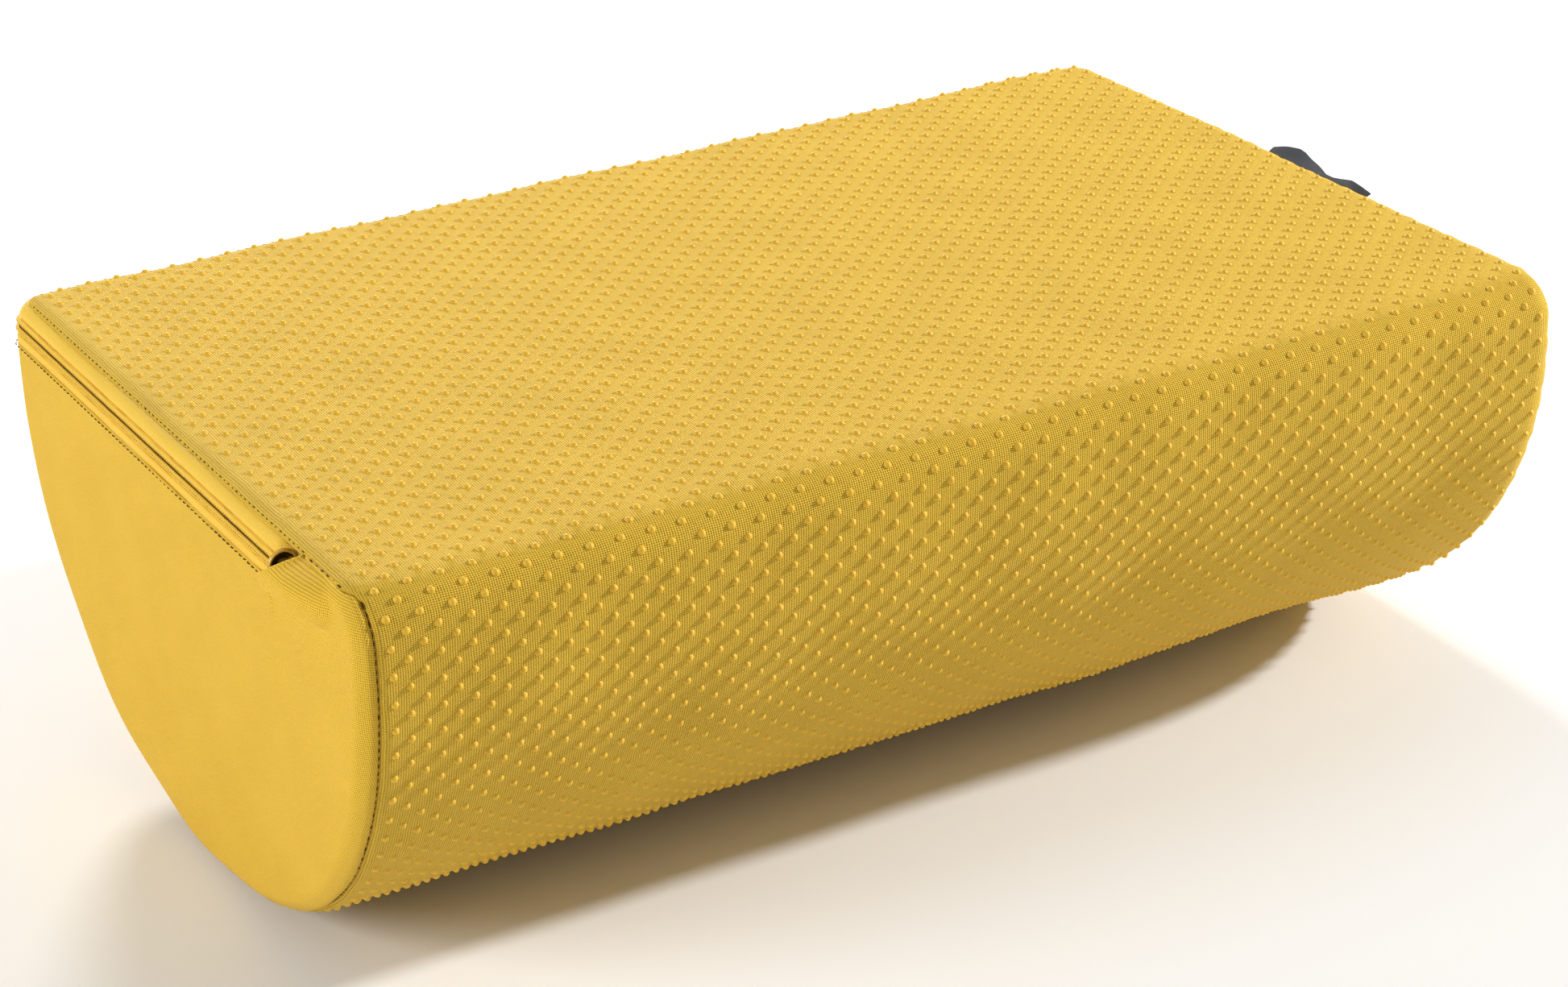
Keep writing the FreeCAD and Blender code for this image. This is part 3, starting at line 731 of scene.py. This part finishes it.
def dotted_wrap():
    """One fabric panel over the top, down the front, round the underside and up the rear wall."""
    s = wrap_rows()
    base = wrap_columns()
    a, around = np.meshgrid(base, s, indexing="xy")
    shift = np.clip(1 - (base - base[0]) / 10, 0, 1)
    a = a + (left_edge(around) - base[0]) * shift[None]
    points, _ = wrap_surface(a, around)
    cell_a = (a[:-1, :-1] + a[1:, 1:]) / 2
    cell_s = (around[:-1, :-1] + around[1:, 1:]) / 2
    keep = (cell_a > ZIP_END_X) | ((cell_s > REAR_UPPER_S) & (cell_s < REAR_LOWER_S))
    faces = grid_faces(len(s), len(base), keep=keep)[:, ::-1]
    cloth = np.stack([a, around, np.zeros_like(a)], -1).reshape(-1, 3)
    # Painted light on the top: the gap shade fades out where the wrap faces upwards.
    upward = np.cos(section(around)[2])
    top_light = (TOP_PAINTED_LIGHT * np.clip((upward - 0.72) / 0.22, 0, 1)).ravel()
    used = np.unique(faces)
    renumber = np.full(a.size, -1)
    renumber[used] = np.arange(len(used))
    wrap = piece("dotted_cover", points.reshape(-1, 3)[used], renumber[faces], DOTTED,
                 slot="dotted_fabric", cloth=cloth[used], top_light=top_light[used], replaces=["wrap_panel"])
    thicken(wrap)


DOT_PITCH = 10.25
DOT_ROW = 4.55
DOT_START = 10.0 - HALF_LENGTH
DOT_END = HALF_LENGTH - 9.0
DOT_SIDES = 10
DOT_OUTLINE = [(1.45, -0.25), (1.22, 0.2), (0.86, 0.66), (0.42, 0.94), (0.0, 1.02)]
UNDERSIDE_MARGIN = 95.0


def dot_places():
    """(a, s) of every dot, clear of the zip and of the rear seam."""
    rows = np.arange(math.ceil(REAR_SEAM_S / DOT_ROW), math.floor((REAR_SEAM_S + GIRTH) / DOT_ROW))
    places = []
    for row in rows:
        start = DOT_START + (DOT_PITCH / 2 if row % 2 else 0.0)
        a = np.arange(start, DOT_END, DOT_PITCH)
        places.append(np.stack([a, np.full_like(a, row * DOT_ROW)], 1))
    places = np.concatenate(places)
    a, s = places.T
    clear_rear = (s > REAR_UPPER_S + 4) & (s < REAR_LOWER_S - 4)
    clear_seam = (a > ZIP_END_X + 4) & (s > REAR_SEAM_S + 3) & (s < REAR_SEAM_S + GIRTH - 3)
    return places[clear_rear | clear_seam]


def grip_dots():
    """Rows of small domes on the wrap, every second row shifted; returns their lowest height."""
    places = dot_places()
    places = places + random.normal(0, 0.05, places.shape)
    template, faces = lathe(DOT_OUTLINE, DOT_SIDES)
    stops = [-GIRTH, BREAKS[1] + 5, BREAKS[3] + UNDERSIDE_MARGIN, BREAKS[7] - UNDERSIDE_MARGIN, 2 * GIRTH]
    lowest = 0.0
    for zone, start, end in zip(("top", "front", "underside", "rear"), stops, stops[1:]):
        a, s = places[(places[:, 1] >= start) & (places[:, 1] < end)].T
        origins, normals = wrap_surface(a, s)
        along = np.tile([1.0, 0.0, 0.0], (len(a), 1))
        size = 1 + random.normal(0, 0.03, len(a))
        points, all_faces = scatter(template, faces, origins, along, normals, size)
        piece("grip_dots_" + zone, points, all_faces, GRIP, slot="dotted_fabric")
        lowest = min(lowest, points[:, 2].min())
    return lowest


# ---------------- end panels

MOUTH_SLOPE = (UPPER_EDGE - LOWER_EDGE) / (MOUTH_TOP_Y - MOUTH_BOTTOM_Y)
HOOD_END_Y = -66.0
HOOD_FADE = 16.0
MOUTH_FOLD = (-3.0, -13.0)
GARAGE_Y = (-136.0, -58.0)
GARAGE_LOW_Z = 112.0
GARAGE_EDGE = 0.9
SEAM_GROOVE = 1.5


def seam_angle(seam_x, roll_x, rounding):
    """How far round an end's rounding its seam lies."""
    return math.asin(abs(seam_x - roll_x) / rounding)


def cap_rings(rounding, start_angle, rings_on_roll, rings_on_face):
    """Points of a D-shaped end cap: rings down its rounded edge, then shrinking rings, then the middle."""
    s = np.linspace(0, GIRTH, 361)[:-1]
    rings = []
    for angle in start_angle + (math.pi / 2 - start_angle) * np.linspace(0, 1, rings_on_roll) ** 1.3:
        rings.append(inward(rounding * math.sin(angle), s, rounding * (1 - math.cos(angle))))
    rim = rings[-1]
    for share in np.linspace(1, 0, rings_on_face + 1)[1:-1]:
        ring = rim.copy()
        ring[:, 1] = PANEL_CENTRE[0] + (rim[:, 1] - PANEL_CENTRE[0]) * share
        ring[:, 2] = PANEL_CENTRE[1] + (rim[:, 2] - PANEL_CENTRE[1]) * share
        rings.append(ring)
    columns = len(s)
    points = np.concatenate([*rings, [[rounding, *PANEL_CENTRE]]])
    last = (len(rings) - 1) * columns
    faces = ring_faces(len(rings), columns)
    faces += [(last + k, last + (k + 1) % columns, len(points) - 1) for k in range(columns)]
    return points, faces


def unrolled(points, rounding):
    """Flat cloth coordinates of cap points, whose first coordinate is the reach past the roll line."""
    reach = np.clip(points[:, 0] / rounding, 0, 1)
    angle = np.arcsin(reach)
    extra = rounding * (math.pi / 2 - angle) - rounding * np.cos(angle)
    away = points[:, 1:] - np.array(PANEL_CENTRE)
    flat = points[:, 1:] + unit(away) * extra[:, None]
    return np.column_stack([flat, np.zeros(len(flat))])


def from_seam(points, rounding, start_angle):
    """Distance along the cloth from the seam to each cap point."""
    angle = np.arcsin(np.clip(points[:, 0] / rounding, 0, 1))
    on_face = np.maximum(depth_inside(points[:, 1], points[:, 2]) - rounding, 0)
    return rounding * (angle - start_angle) + on_face


def hood(y, z):
    """How far the garage hood stands off the end panel."""
    radius = (HOOD_HALF ** 2 + HOOD_RISE ** 2) / (2 * HOOD_RISE)
    ahead = 0.45 * np.minimum(y - MOUTH_TOP_Y, 0)
    reach2 = (z - ZIP_Z) ** 2 + ahead ** 2
    rise = np.sqrt(np.maximum(radius ** 2 - reach2, 0)) - (radius - HOOD_RISE)
    fade = np.clip((HOOD_END_Y - y) / HOOD_FADE, 0, 1)
    fade = smooth(fade) * np.sqrt(np.clip((UPPER_EDGE - 0.2 - z) / 6, 0, 1))
    low = np.clip((z - LOWER_EDGE + 0.8) / 4.5, 0, 1)
    fade = fade * (0.12 + 0.88 * smooth(low))
    return 0.5 * (rise + np.sqrt(rise ** 2 + 0.6)) * fade


def hood_crease(y, z):
    """The small fold that runs down from the lower end of the garage mouth."""
    top = np.array([MOUTH_BOTTOM_Y, LOWER_EDGE])
    length = np.linalg.norm(MOUTH_FOLD)
    along = np.array(MOUTH_FOLD) / length
    offset = np.stack([y, z], -1) - top
    run = offset @ along
    across = offset @ np.array([along[1], -along[0]])
    fade = np.clip(1 - run / length, 0, 1) * (run > -3)
    return 0.9 * bump(across, 0.9) * fade - 0.5 * bump(across - 1.8, 1.2) * fade


def panel_relief(points, rounding, start_angle):
    """How far an end panel stands off the foam's flat end."""
    away = from_seam(points, rounding, start_angle)
    y, z = points[:, 1], points[:, 2]
    flat = np.clip((LOWER_EDGE + 4 - z) / 30, 0, 1)
    pillow = (0.3 + 1.1 * flat) * (1 - np.exp(-np.maximum(away - 2, 0) / 10))
    tension = 0.14 * np.exp(-away / 12) * np.sin(away * 1.1)
    return pillow + slack(PANEL_WAVES, y, z) + tension - SEAM_GROOVE * bump(away, 1.1)


def relieved(points, rounding, start_angle):
    """Cap points, in the cap's own (reach, y, z) axes, moved outwards by the panel's relief."""
    reach = np.clip(points[:, 0] / rounding, 0, 1)
    away = unit(points[:, 1:] - np.array(PANEL_CENTRE))
    normals = np.column_stack([reach, away * np.sqrt(1 - reach ** 2)[:, None]])
    return points + normals * panel_relief(points, rounding, start_angle)[:, None]


def in_mouth(y, z):
    """Whether a point is in the zip opening, behind the slanted mouth line."""
    line_y = MOUTH_TOP_Y + (z - UPPER_EDGE) / MOUTH_SLOPE
    return (y > line_y) & (z > LOWER_EDGE)


def cut_opening(points, faces):
    """Cut the zip opening out of the left cap and refine the mesh round the garage."""
    mesh = bmesh.new()
    vertices = [mesh.verts.new(point) for point in points]
    for face in faces:
        mesh.faces.new([vertices[index] for index in face])
    mouth_along = Vector((0, MOUTH_BOTTOM_Y - MOUTH_TOP_Y, LOWER_EDGE - UPPER_EDGE)).normalized()
    mouth_normal = Vector((1, 0, 0)).cross(mouth_along)

    def near(face):
        middle = face.calc_center_median()
        return GARAGE_Y[0] < middle.y < GARAGE_Y[1] and middle.z > GARAGE_LOW_Z

    for _ in range(2):
        edges = dict.fromkeys(edge for face in mesh.faces if near(face) for edge in face.edges
                              if edge.calc_length() > GARAGE_EDGE)
        bmesh.ops.subdivide_edges(mesh, edges=list(edges), cuts=1, use_grid_fill=True)
    for place, normal in (((0, 0, UPPER_EDGE), (0, 0, 1)), ((0, 0, LOWER_EDGE), (0, 0, 1)),
                          ((0, MOUTH_TOP_Y, UPPER_EDGE), mouth_normal)):
        everything = list(mesh.verts) + list(mesh.edges) + list(mesh.faces)
        bmesh.ops.bisect_plane(mesh, geom=everything, plane_co=place, plane_no=normal, dist=1e-4)
    doomed = []
    for face in mesh.faces:
        middle = face.calc_center_median()
        if middle.z > UPPER_EDGE or in_mouth(middle.y, middle.z):
            doomed.append(face)
    bmesh.ops.delete(mesh, geom=doomed, context="FACES")
    bmesh.ops.triangulate(mesh, faces=[face for face in mesh.faces if len(face.verts) > 4])
    return unpacked(mesh)


LEFT_ANGLE = seam_angle(LEFT_SEAM_X, LEFT_ROLL, LEFT_ROUND)
RIGHT_ANGLE = seam_angle(RIGHT_SEAM_X, RIGHT_ROLL, RIGHT_ROUND)


def place_left(points):
    """Left cap points, in (reach, y, z), with their relief and the hood, in frame axes."""
    moved = relieved(points, LEFT_ROUND, LEFT_ANGLE)
    moved[:, 0] += hood(points[:, 1], points[:, 2]) + hood_crease(points[:, 1], points[:, 2])
    moved[:, 0] = LEFT_ROLL - moved[:, 0]
    return moved


def left_panel():
    """The plain end panel; its front end rises into the garage hood."""
    points, faces = cut_opening(*cap_rings(LEFT_ROUND, LEFT_ANGLE, 12, 34))
    faces = [face[::-1] for face in faces]
    panel = piece("left_end_cover", place_left(points), faces, PLAIN, slot="plain_fabric",
                  cloth=unrolled(points, LEFT_ROUND), replaces=["left_end_panel"])
    thicken(panel)


def piping(name, line, radius):
    """A thin roll of the plain fabric along a line on the left end."""
    points, faces = tube(line, radius)
    piece(name, points, faces, PLAIN, slot="plain_fabric",
          cloth=np.column_stack([points[:, 1], points[:, 2], 0 * points[:, 0]]))


def mouth_hem():
    """The rolled edge of the garage mouth."""
    share = np.linspace(0.0, 1.0, 40)
    y = MOUTH_TOP_Y + (MOUTH_BOTTOM_Y - MOUTH_TOP_Y) * share
    z = UPPER_EDGE + (LOWER_EDGE - UPPER_EDGE) * share
    depth = np.clip(depth_inside(y, z), 0, LEFT_ROUND)
    reach = np.sqrt(LEFT_ROUND ** 2 - (LEFT_ROUND - depth) ** 2)
    line = place_left(np.column_stack([reach, y, z]))
    line[:, 0] += 0.45
    piping("garage_mouth_hem", line, 0.62)


def garage_seam_fold():
    """The seam allowance rolled under the wrap's edge, from the mouth to the front corner."""
    y = np.linspace(MOUTH_TOP_Y + 1.5, -FLAT_HALF - 3, 60)
    z = np.full_like(y, UPPER_EDGE + 0.1)
    depth = np.clip(depth_inside(y, z), 0.4, LEFT_ROUND)
    x = LEFT_ROLL - np.sqrt(LEFT_ROUND ** 2 - (LEFT_ROUND - depth) ** 2)
    share = np.linspace(0, 1, 60)
    radius = 0.25 + 0.75 * np.clip(np.minimum(share, 1 - share) * 6, 0, 1)
    piping("garage_seam_fold", np.column_stack([x + 0.75, y, z - 0.45]), radius)


def right_panel():
    """The plain panel that closes the right end."""
    points, faces = cap_rings(RIGHT_ROUND, RIGHT_ANGLE, 9, 22)
    moved = relieved(points, RIGHT_ROUND, RIGHT_ANGLE)
    moved[:, 0] += RIGHT_ROLL
    panel = piece("right_end_cover", moved, faces, PLAIN, slot="plain_fabric",
                  cloth=unrolled(points, RIGHT_ROUND), replaces=["right_end_panel"])
    thicken(panel)


# ---------------- zip

END_STEPS = 96


def zip_row(z):
    """The cover surface's line at one height: along the left end, round the corner, along the rear."""
    depth = min(LEFT_ROUND, HEIGHT - z)
    full = math.acos((LEFT_ROUND - depth) / LEFT_ROUND)

    def at_depth(inset):
        if z > CREASE_TOP:
            return FLAT_HALF + np.sqrt(np.maximum((CREASE - inset) ** 2 - (z - CREASE_TOP) ** 2, 0))
        return HALF_DEPTH - inset

    corner_y = float(at_depth(depth))
    end_y = np.linspace(ZIP_START_Y, corner_y, END_STEPS)
    end_x_line = np.full_like(end_y, LEFT_ROLL - LEFT_ROUND * math.sin(full))
    angle = full * (1 - np.linspace(0, 1, 13)[1:])
    roll_y = at_depth(LEFT_ROUND * (1 - np.cos(angle)))
    roll_x = LEFT_ROLL - LEFT_ROUND * np.sin(angle)
    rear_x = np.linspace(LEFT_ROLL, ZIP_END_X, 130)[1:]
    rear_y = np.full_like(rear_x, float(at_depth(0.0)))
    x = np.concatenate([end_x_line, roll_x, rear_x])
    y = np.concatenate([end_y, roll_y, rear_y])
    return np.column_stack([x, y, np.full_like(x, z)])


def zip_surface(heights):
    """Base points and outward normals of the zip's zone; one row for each height."""
    rows = np.stack([zip_row(z) for z in heights])
    along = np.gradient(rows, axis=1)
    up = np.stack([zip_row(z + 0.05) for z in heights]) - np.stack([zip_row(z - 0.05) for z in heights])
    return rows, unit(np.cross(up, along))


# The tapes dive into a pocket that takes the slider, behind the mouth.
POCKET_Y = MOUTH_TOP_Y + 14.2
POCKET_DEPTH = 5.5
# (distance from the zip's middle, height) across a tape
TAPE_RELIEF = [
    (0.72, -0.75), (0.76, -0.3), (1.0, 0.05), (1.4, 0.28), (1.8, 0.26), (2.2, 0.02), (2.4, -0.14),
    (2.65, -0.1), (2.85, -0.45), (3.0, -1.3), (3.4, -1.9), (3.75, -1.3), (3.95, -0.4), (4.4, -0.12),
    (5.2, -0.05), (6.0, -0.06), (7.0, -0.1), (8.5, -0.15), (9.8, -0.4), (11.2, -0.9),
]


def zip_tape(side, edge):
    """One woven tape: a rolled inner edge over its coil, a stitched groove, then the flat band."""
    offsets, lifts = np.array(TAPE_RELIEF).T
    limit = abs(edge - ZIP_Z) + 0.7
    offsets = np.append(offsets[offsets < limit], limit)
    lifts = np.append(lifts[:len(offsets) - 1], -0.95)
    base, normals = zip_surface(ZIP_Z + side * offsets)
    under = np.clip((POCKET_Y - base[..., 1]) / 3, 0, 1) * (base[..., 0] < LEFT_ROLL - 1)
    dive = POCKET_DEPTH * smooth(under) * np.clip((offsets[:, None] - 2.5) / 0.6, 0.12, 1)
    points = base + normals * (lifts[:, None] - dive)[..., None]
    rows, columns = points.shape[:2]
    run = np.concatenate([[0.0], np.cumsum(np.linalg.norm(np.diff(base[0], axis=0), axis=1))])
    cloth = np.stack([np.broadcast_to(run, (rows, columns)),
                      np.broadcast_to((side * offsets)[:, None], (rows, columns)),
                      np.zeros((rows, columns))], -1).reshape(-1, 3)
    faces = grid_faces(rows, columns)
    if side > 0:
        faces = faces[:, ::-1]
    name = "upper" if side > 0 else "lower"
    tape = piece("zip_tape_cloth_" + name, points.reshape(-1, 3), faces, TAPE, slot="zip_tape",
                 cloth=cloth, replaces=["zip_tape_" + name])
    thicken(tape, TAPE_THICK)


def zip_line(offset, lift):
    """A line along the zip at a distance above its middle, with its normals."""
    base, normals = zip_surface([ZIP_Z + offset])
    return base[0] + normals[0] * lift, normals[0]


TAPE_THICK = 0.5
COIL_PITCH = 1.3
CHAIN_PITCH = 1.5


def zip_coils():
    """The teeth of both coils, which meet in the slit, and the chain stitches that hold them."""
    for side, name in ((1, "upper"), (-1, "lower")):
        points, normals = zip_line(side * 1.62, -1.5)
        where, along, normal = spaced(points, normals, COIL_PITCH, 0 if side > 0 else COIL_PITCH / 2)
        across = unit(np.cross(normal, along))
        template, faces = strand(2.35, 0.5, 0.0)
        new_points, new_faces = scatter(template, faces, where, across, normal)
        piece("zip_coil_teeth_" + name, new_points, new_faces, COIL, slot="zip_coil",
              replaces=["zip_coil_" + name])
    rows = [zip_line(side * 1.55, 0.2) for side in (1, -1)]
    stitches("zip_chain_stitches", rows, CHAIN_PITCH, 1.15, 0.27, THREAD, 0.15)


RIM_HALF_X, RIM_HALF_Z = 4.7, 4.9
TAIL_HALF_X, TAIL_HALF_Z = 2.1, 2.5
RIM_LIFT = 1.9
RIM_RADIUS = 0.48
COLLAR_START, COLLAR_LENGTH = 8.0, 4.0
COLLAR_WALL = 0.35
BORE_INSET = 0.75


def slider_ring(share, inner=0.0, count=44):
    """One looped section of the slider's collar, from its open rim (0) to its tail (1)."""
    low = corners("zip_slider")[0]
    ease = smooth(share)
    turns = 2 * math.pi * np.arange(count) / count
    half_x = RIM_HALF_X + (TAIL_HALF_X - RIM_HALF_X) * ease - inner
    half_z = RIM_HALF_Z + (TAIL_HALF_Z - RIM_HALF_Z) * ease - inner
    centre_x = low[0] + 5.5 + 0.5 * ease
    centre_z = ZIP_Z + RIM_LIFT * (1 - ease)
    y = low[1] + COLLAR_START + COLLAR_LENGTH * share
    return np.column_stack([centre_x + half_x * np.cos(turns), np.full(count, y),
                            centre_z + half_z * np.sin(turns)])


def sleeve(name, inner, shares, material, outward):
    """A tapering wall made of looped rings."""
    rings = np.stack([slider_ring(share, inner) for share in shares])
    faces = ring_faces(*rings.shape[:2])
    if not outward:
        faces = [face[::-1] for face in faces]
    wall = piece(name, rings.reshape(-1, 3), faces, material, "slider", "zip_metal")
    return thicken(wall, COLLAR_WALL)


def zip_slider():
    """A pull-less slider: a collar open towards the garage that closes on the coil behind it."""
    low, high = corners("zip_slider")
    shares = np.linspace(0, 1, 10)
    collar = sleeve("slider_collar", 0.0, shares, SLIDER, True)
    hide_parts("zip_slider")
    # The bore's dark brown is painted shade inside the collar.
    sleeve("slider_bore", BORE_INSET, shares, SLIDER_INSIDE_SHADE, False)
    ring = slider_ring(0.0, 0.38, 60)
    ring = np.concatenate([ring, ring[:2]])
    points, faces = tube(ring, RIM_RADIUS, 12)
    piece("slider_rim", points, faces, SLIDER, "slider", "zip_metal")
    plate_low = np.array([-HALF_LENGTH + 3.05, low[1], low[2] + 0.1])
    plate_high = np.array([-HALF_LENGTH + 4.1, high[1], high[2] - 0.1])
    rounded_block("slider_guide_plate", plate_low, plate_high, 0.4, SLIDER)
    post_low = np.array([low[0] + 2.0, low[1] + 8.4, ZIP_Z - 0.36])
    post_high = np.array([-HALF_LENGTH + 3.2, low[1] + 10.6, ZIP_Z + 0.36])
    # The post's dark brown is painted shade inside the slider.
    rounded_block("slider_post", post_low, post_high, 0.15, SLIDER_INSIDE_SHADE)


def rounded_block(name, low, high, rounding, material):
    """A small block with rounded edges on the slider."""
    mesh = bmesh.new()
    bmesh.ops.create_cube(mesh, size=1.0)
    for vertex in mesh.verts:
        vertex.co = Vector([(start + end) / 2 + share * (end - start)
                            for start, end, share in zip(low, high, vertex.co)])
    bmesh.ops.bevel(mesh, geom=list(mesh.edges), offset=rounding, segments=3, profile=0.5, affect="EDGES")
    return piece(name, *unpacked(mesh), material, "slider", "zip_metal")


def zip_stops():
    """The crimped stops keep their CAD shapes."""
    for node in ("zip_top_stops", "zip_bottom_stop"):
        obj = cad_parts[node]
        obj.data.materials.clear()
        obj.data.materials.append(STOP)


# ---------------- seams

# (seam, pitch, stitch length, thread radius)
SEAM_STITCHES = [("left", 3.0, 2.3, 0.3), ("right", 3.2, 2.4, 0.32), ("rear", 3.2, 2.4, 0.32)]


def seam_rows():
    """The lines of the left, right and rear seams: points and normals."""
    front = np.linspace(FLAT_HALF + 10, REAR_LOWER_S - 3, 420)
    left_points, left_normals = wrap_surface(left_edge(front), front, 0.15)
    around = np.linspace(REAR_SEAM_S, REAR_SEAM_S + GIRTH, 520)
    right_points, right_normals = wrap_surface(np.full_like(around, RIGHT_EDGE), around, 0.25)
    across = np.linspace(ZIP_END_X + 2, RIGHT_ROLL, 30)
    rear_points, rear_normals = wrap_surface(across, np.full_like(across, REAR_SEAM_S), 0.1)
    return (left_points, left_normals), (right_points, right_normals), (rear_points, rear_normals)


def top_row(start_y, end_y, inset, lift):
    """A line on the wrap beside the zip, along the left end, at an inset from the flat top."""
    s = -np.linspace(start_y, end_y, 200)
    a = np.full_like(s, LEFT_ROLL - LEFT_ROUND * math.acos(1 - inset / LEFT_ROUND))
    return wrap_surface(a, s, lift)


def sew_seams():
    """All the rows of stitches, except the zip's own."""
    # The seam and top-stitch rows use the thread painted dark as the shade of their stitch holes.
    for (side, pitch, length, radius), row in zip(SEAM_STITCHES, seam_rows()):
        stitches(side + "_seam_stitches", [row], pitch, length, radius, SEAM_THREAD, 0.25,
                 replaces=[side + "_seam_thread"])
    upper = top_row(MOUTH_TOP_Y, FLAT_HALF, 1.75, 0.02)
    rear_x = np.linspace(LEFT_ROLL, ZIP_END_X, 200)
    rear_s = np.full_like(rear_x, REAR_UPPER_S + 0.9)
    rear_upper = wrap_surface(rear_x, rear_s, 0.02)
    stitches("upper_topstitch", [upper, rear_upper], 3.3, 2.1, 0.2, SEAM_THREAD, 0.3,
             replaces=["zip_topstitch_upper"])
    base, normals = zip_surface([LOWER_EDGE - 0.75])
    first = np.searchsorted(base[0][:END_STEPS, 1], MOUTH_BOTTOM_Y + 1)
    lower = (base[0][first:] + normals[0][first:] * 0.75, normals[0][first:])
    stitches("lower_topstitch", [lower], 3.2, 2.0, 0.2, SEAM_THREAD, 0.3, replaces=["zip_topstitch_lower"])
    garage = top_row(-FLAT_HALF - 2, MOUTH_TOP_Y - 1, 2.0, 0.25)
    stitches("garage_seam_stitches", [garage], 3.9, 2.2, 0.28, SEAM_THREAD, 0.2,
             replaces=["garage_seam_thread"])


# ---------------- label

# (share of the ribbon's length from front to rear, distance out of the seam)
LABEL_EDGE = [(0, 2.2), (0.1, 2.9), (0.19, 3.3), (0.29, 2.0), (0.36, 1.4), (0.45, 1.7), (0.62, 5.4),
              (0.79, 8.0), (0.84, 7.9), (0.92, 5.6), (1.0, 2.6)]
LABEL_THICK = 0.7


def label_reach(share):
    """How far the ribbon stands out of the seam at a share of its length."""
    shares, reaches = zip(*LABEL_EDGE)
    return np.interp(share, shares, reaches)


def side_label():
    """The folded ribbon, pinched where it dips behind the cushion's edge."""
    low, high = corners("side_label")
    root_x = RIGHT_SEAM_X - 0.6
    seam_inset = RIGHT_ROUND - math.sqrt(RIGHT_ROUND ** 2 - (RIGHT_SEAM_X - RIGHT_ROLL) ** 2)
    root_z = HEIGHT - seam_inset - 0.3
    share = np.linspace(0, 1, 64)
    out = np.linspace(0, 1, 12)
    grid_share, grid_out = np.meshgrid(share, out, indexing="ij")
    reach = label_reach(grid_share) + 1.6
    tilt = math.radians(38) + 0.25 * np.sin(grid_share * 7) - 0.25 * grid_out
    x = root_x + reach * grid_out * np.cos(tilt)
    z = root_z + reach * grid_out * np.sin(tilt)
    y = low[1] + (high[1] - low[1] - 3.0) * grid_share + 0.4 * grid_out * np.sin(grid_share * 9)
    points = np.stack([x, y, z], -1).reshape(-1, 3)
    cloth = np.stack([grid_share * (high[1] - low[1]), grid_out * 9, 0 * grid_out], -1).reshape(-1, 3)
    label = piece("ribbon_label", points, grid_faces(len(share), len(out)), RIBBON, "label",
                  "label_ribbon", cloth=cloth, replaces=["side_label"])
    solid = thicken(label, LABEL_THICK).modifiers["thickness"]
    solid.offset = 0
    bevel = label.modifiers.new("worn_edge", "BEVEL")
    bevel.width = 0.2 * MM
    bevel.segments = 2
    bevel.limit_method = "ANGLE"
    bevel.angle_limit = math.radians(50)


# ---------------- the whole

make_camera()
studio()
foam_core()
dotted_wrap()
floor_level = grip_dots()
make_floor(floor_level)
left_panel()
mouth_hem()
garage_seam_fold()
right_panel()
zip_tape(1, UPPER_EDGE)
zip_tape(-1, LOWER_EDGE)
zip_coils()
zip_slider()
zip_stops()
sew_seams()
side_label()
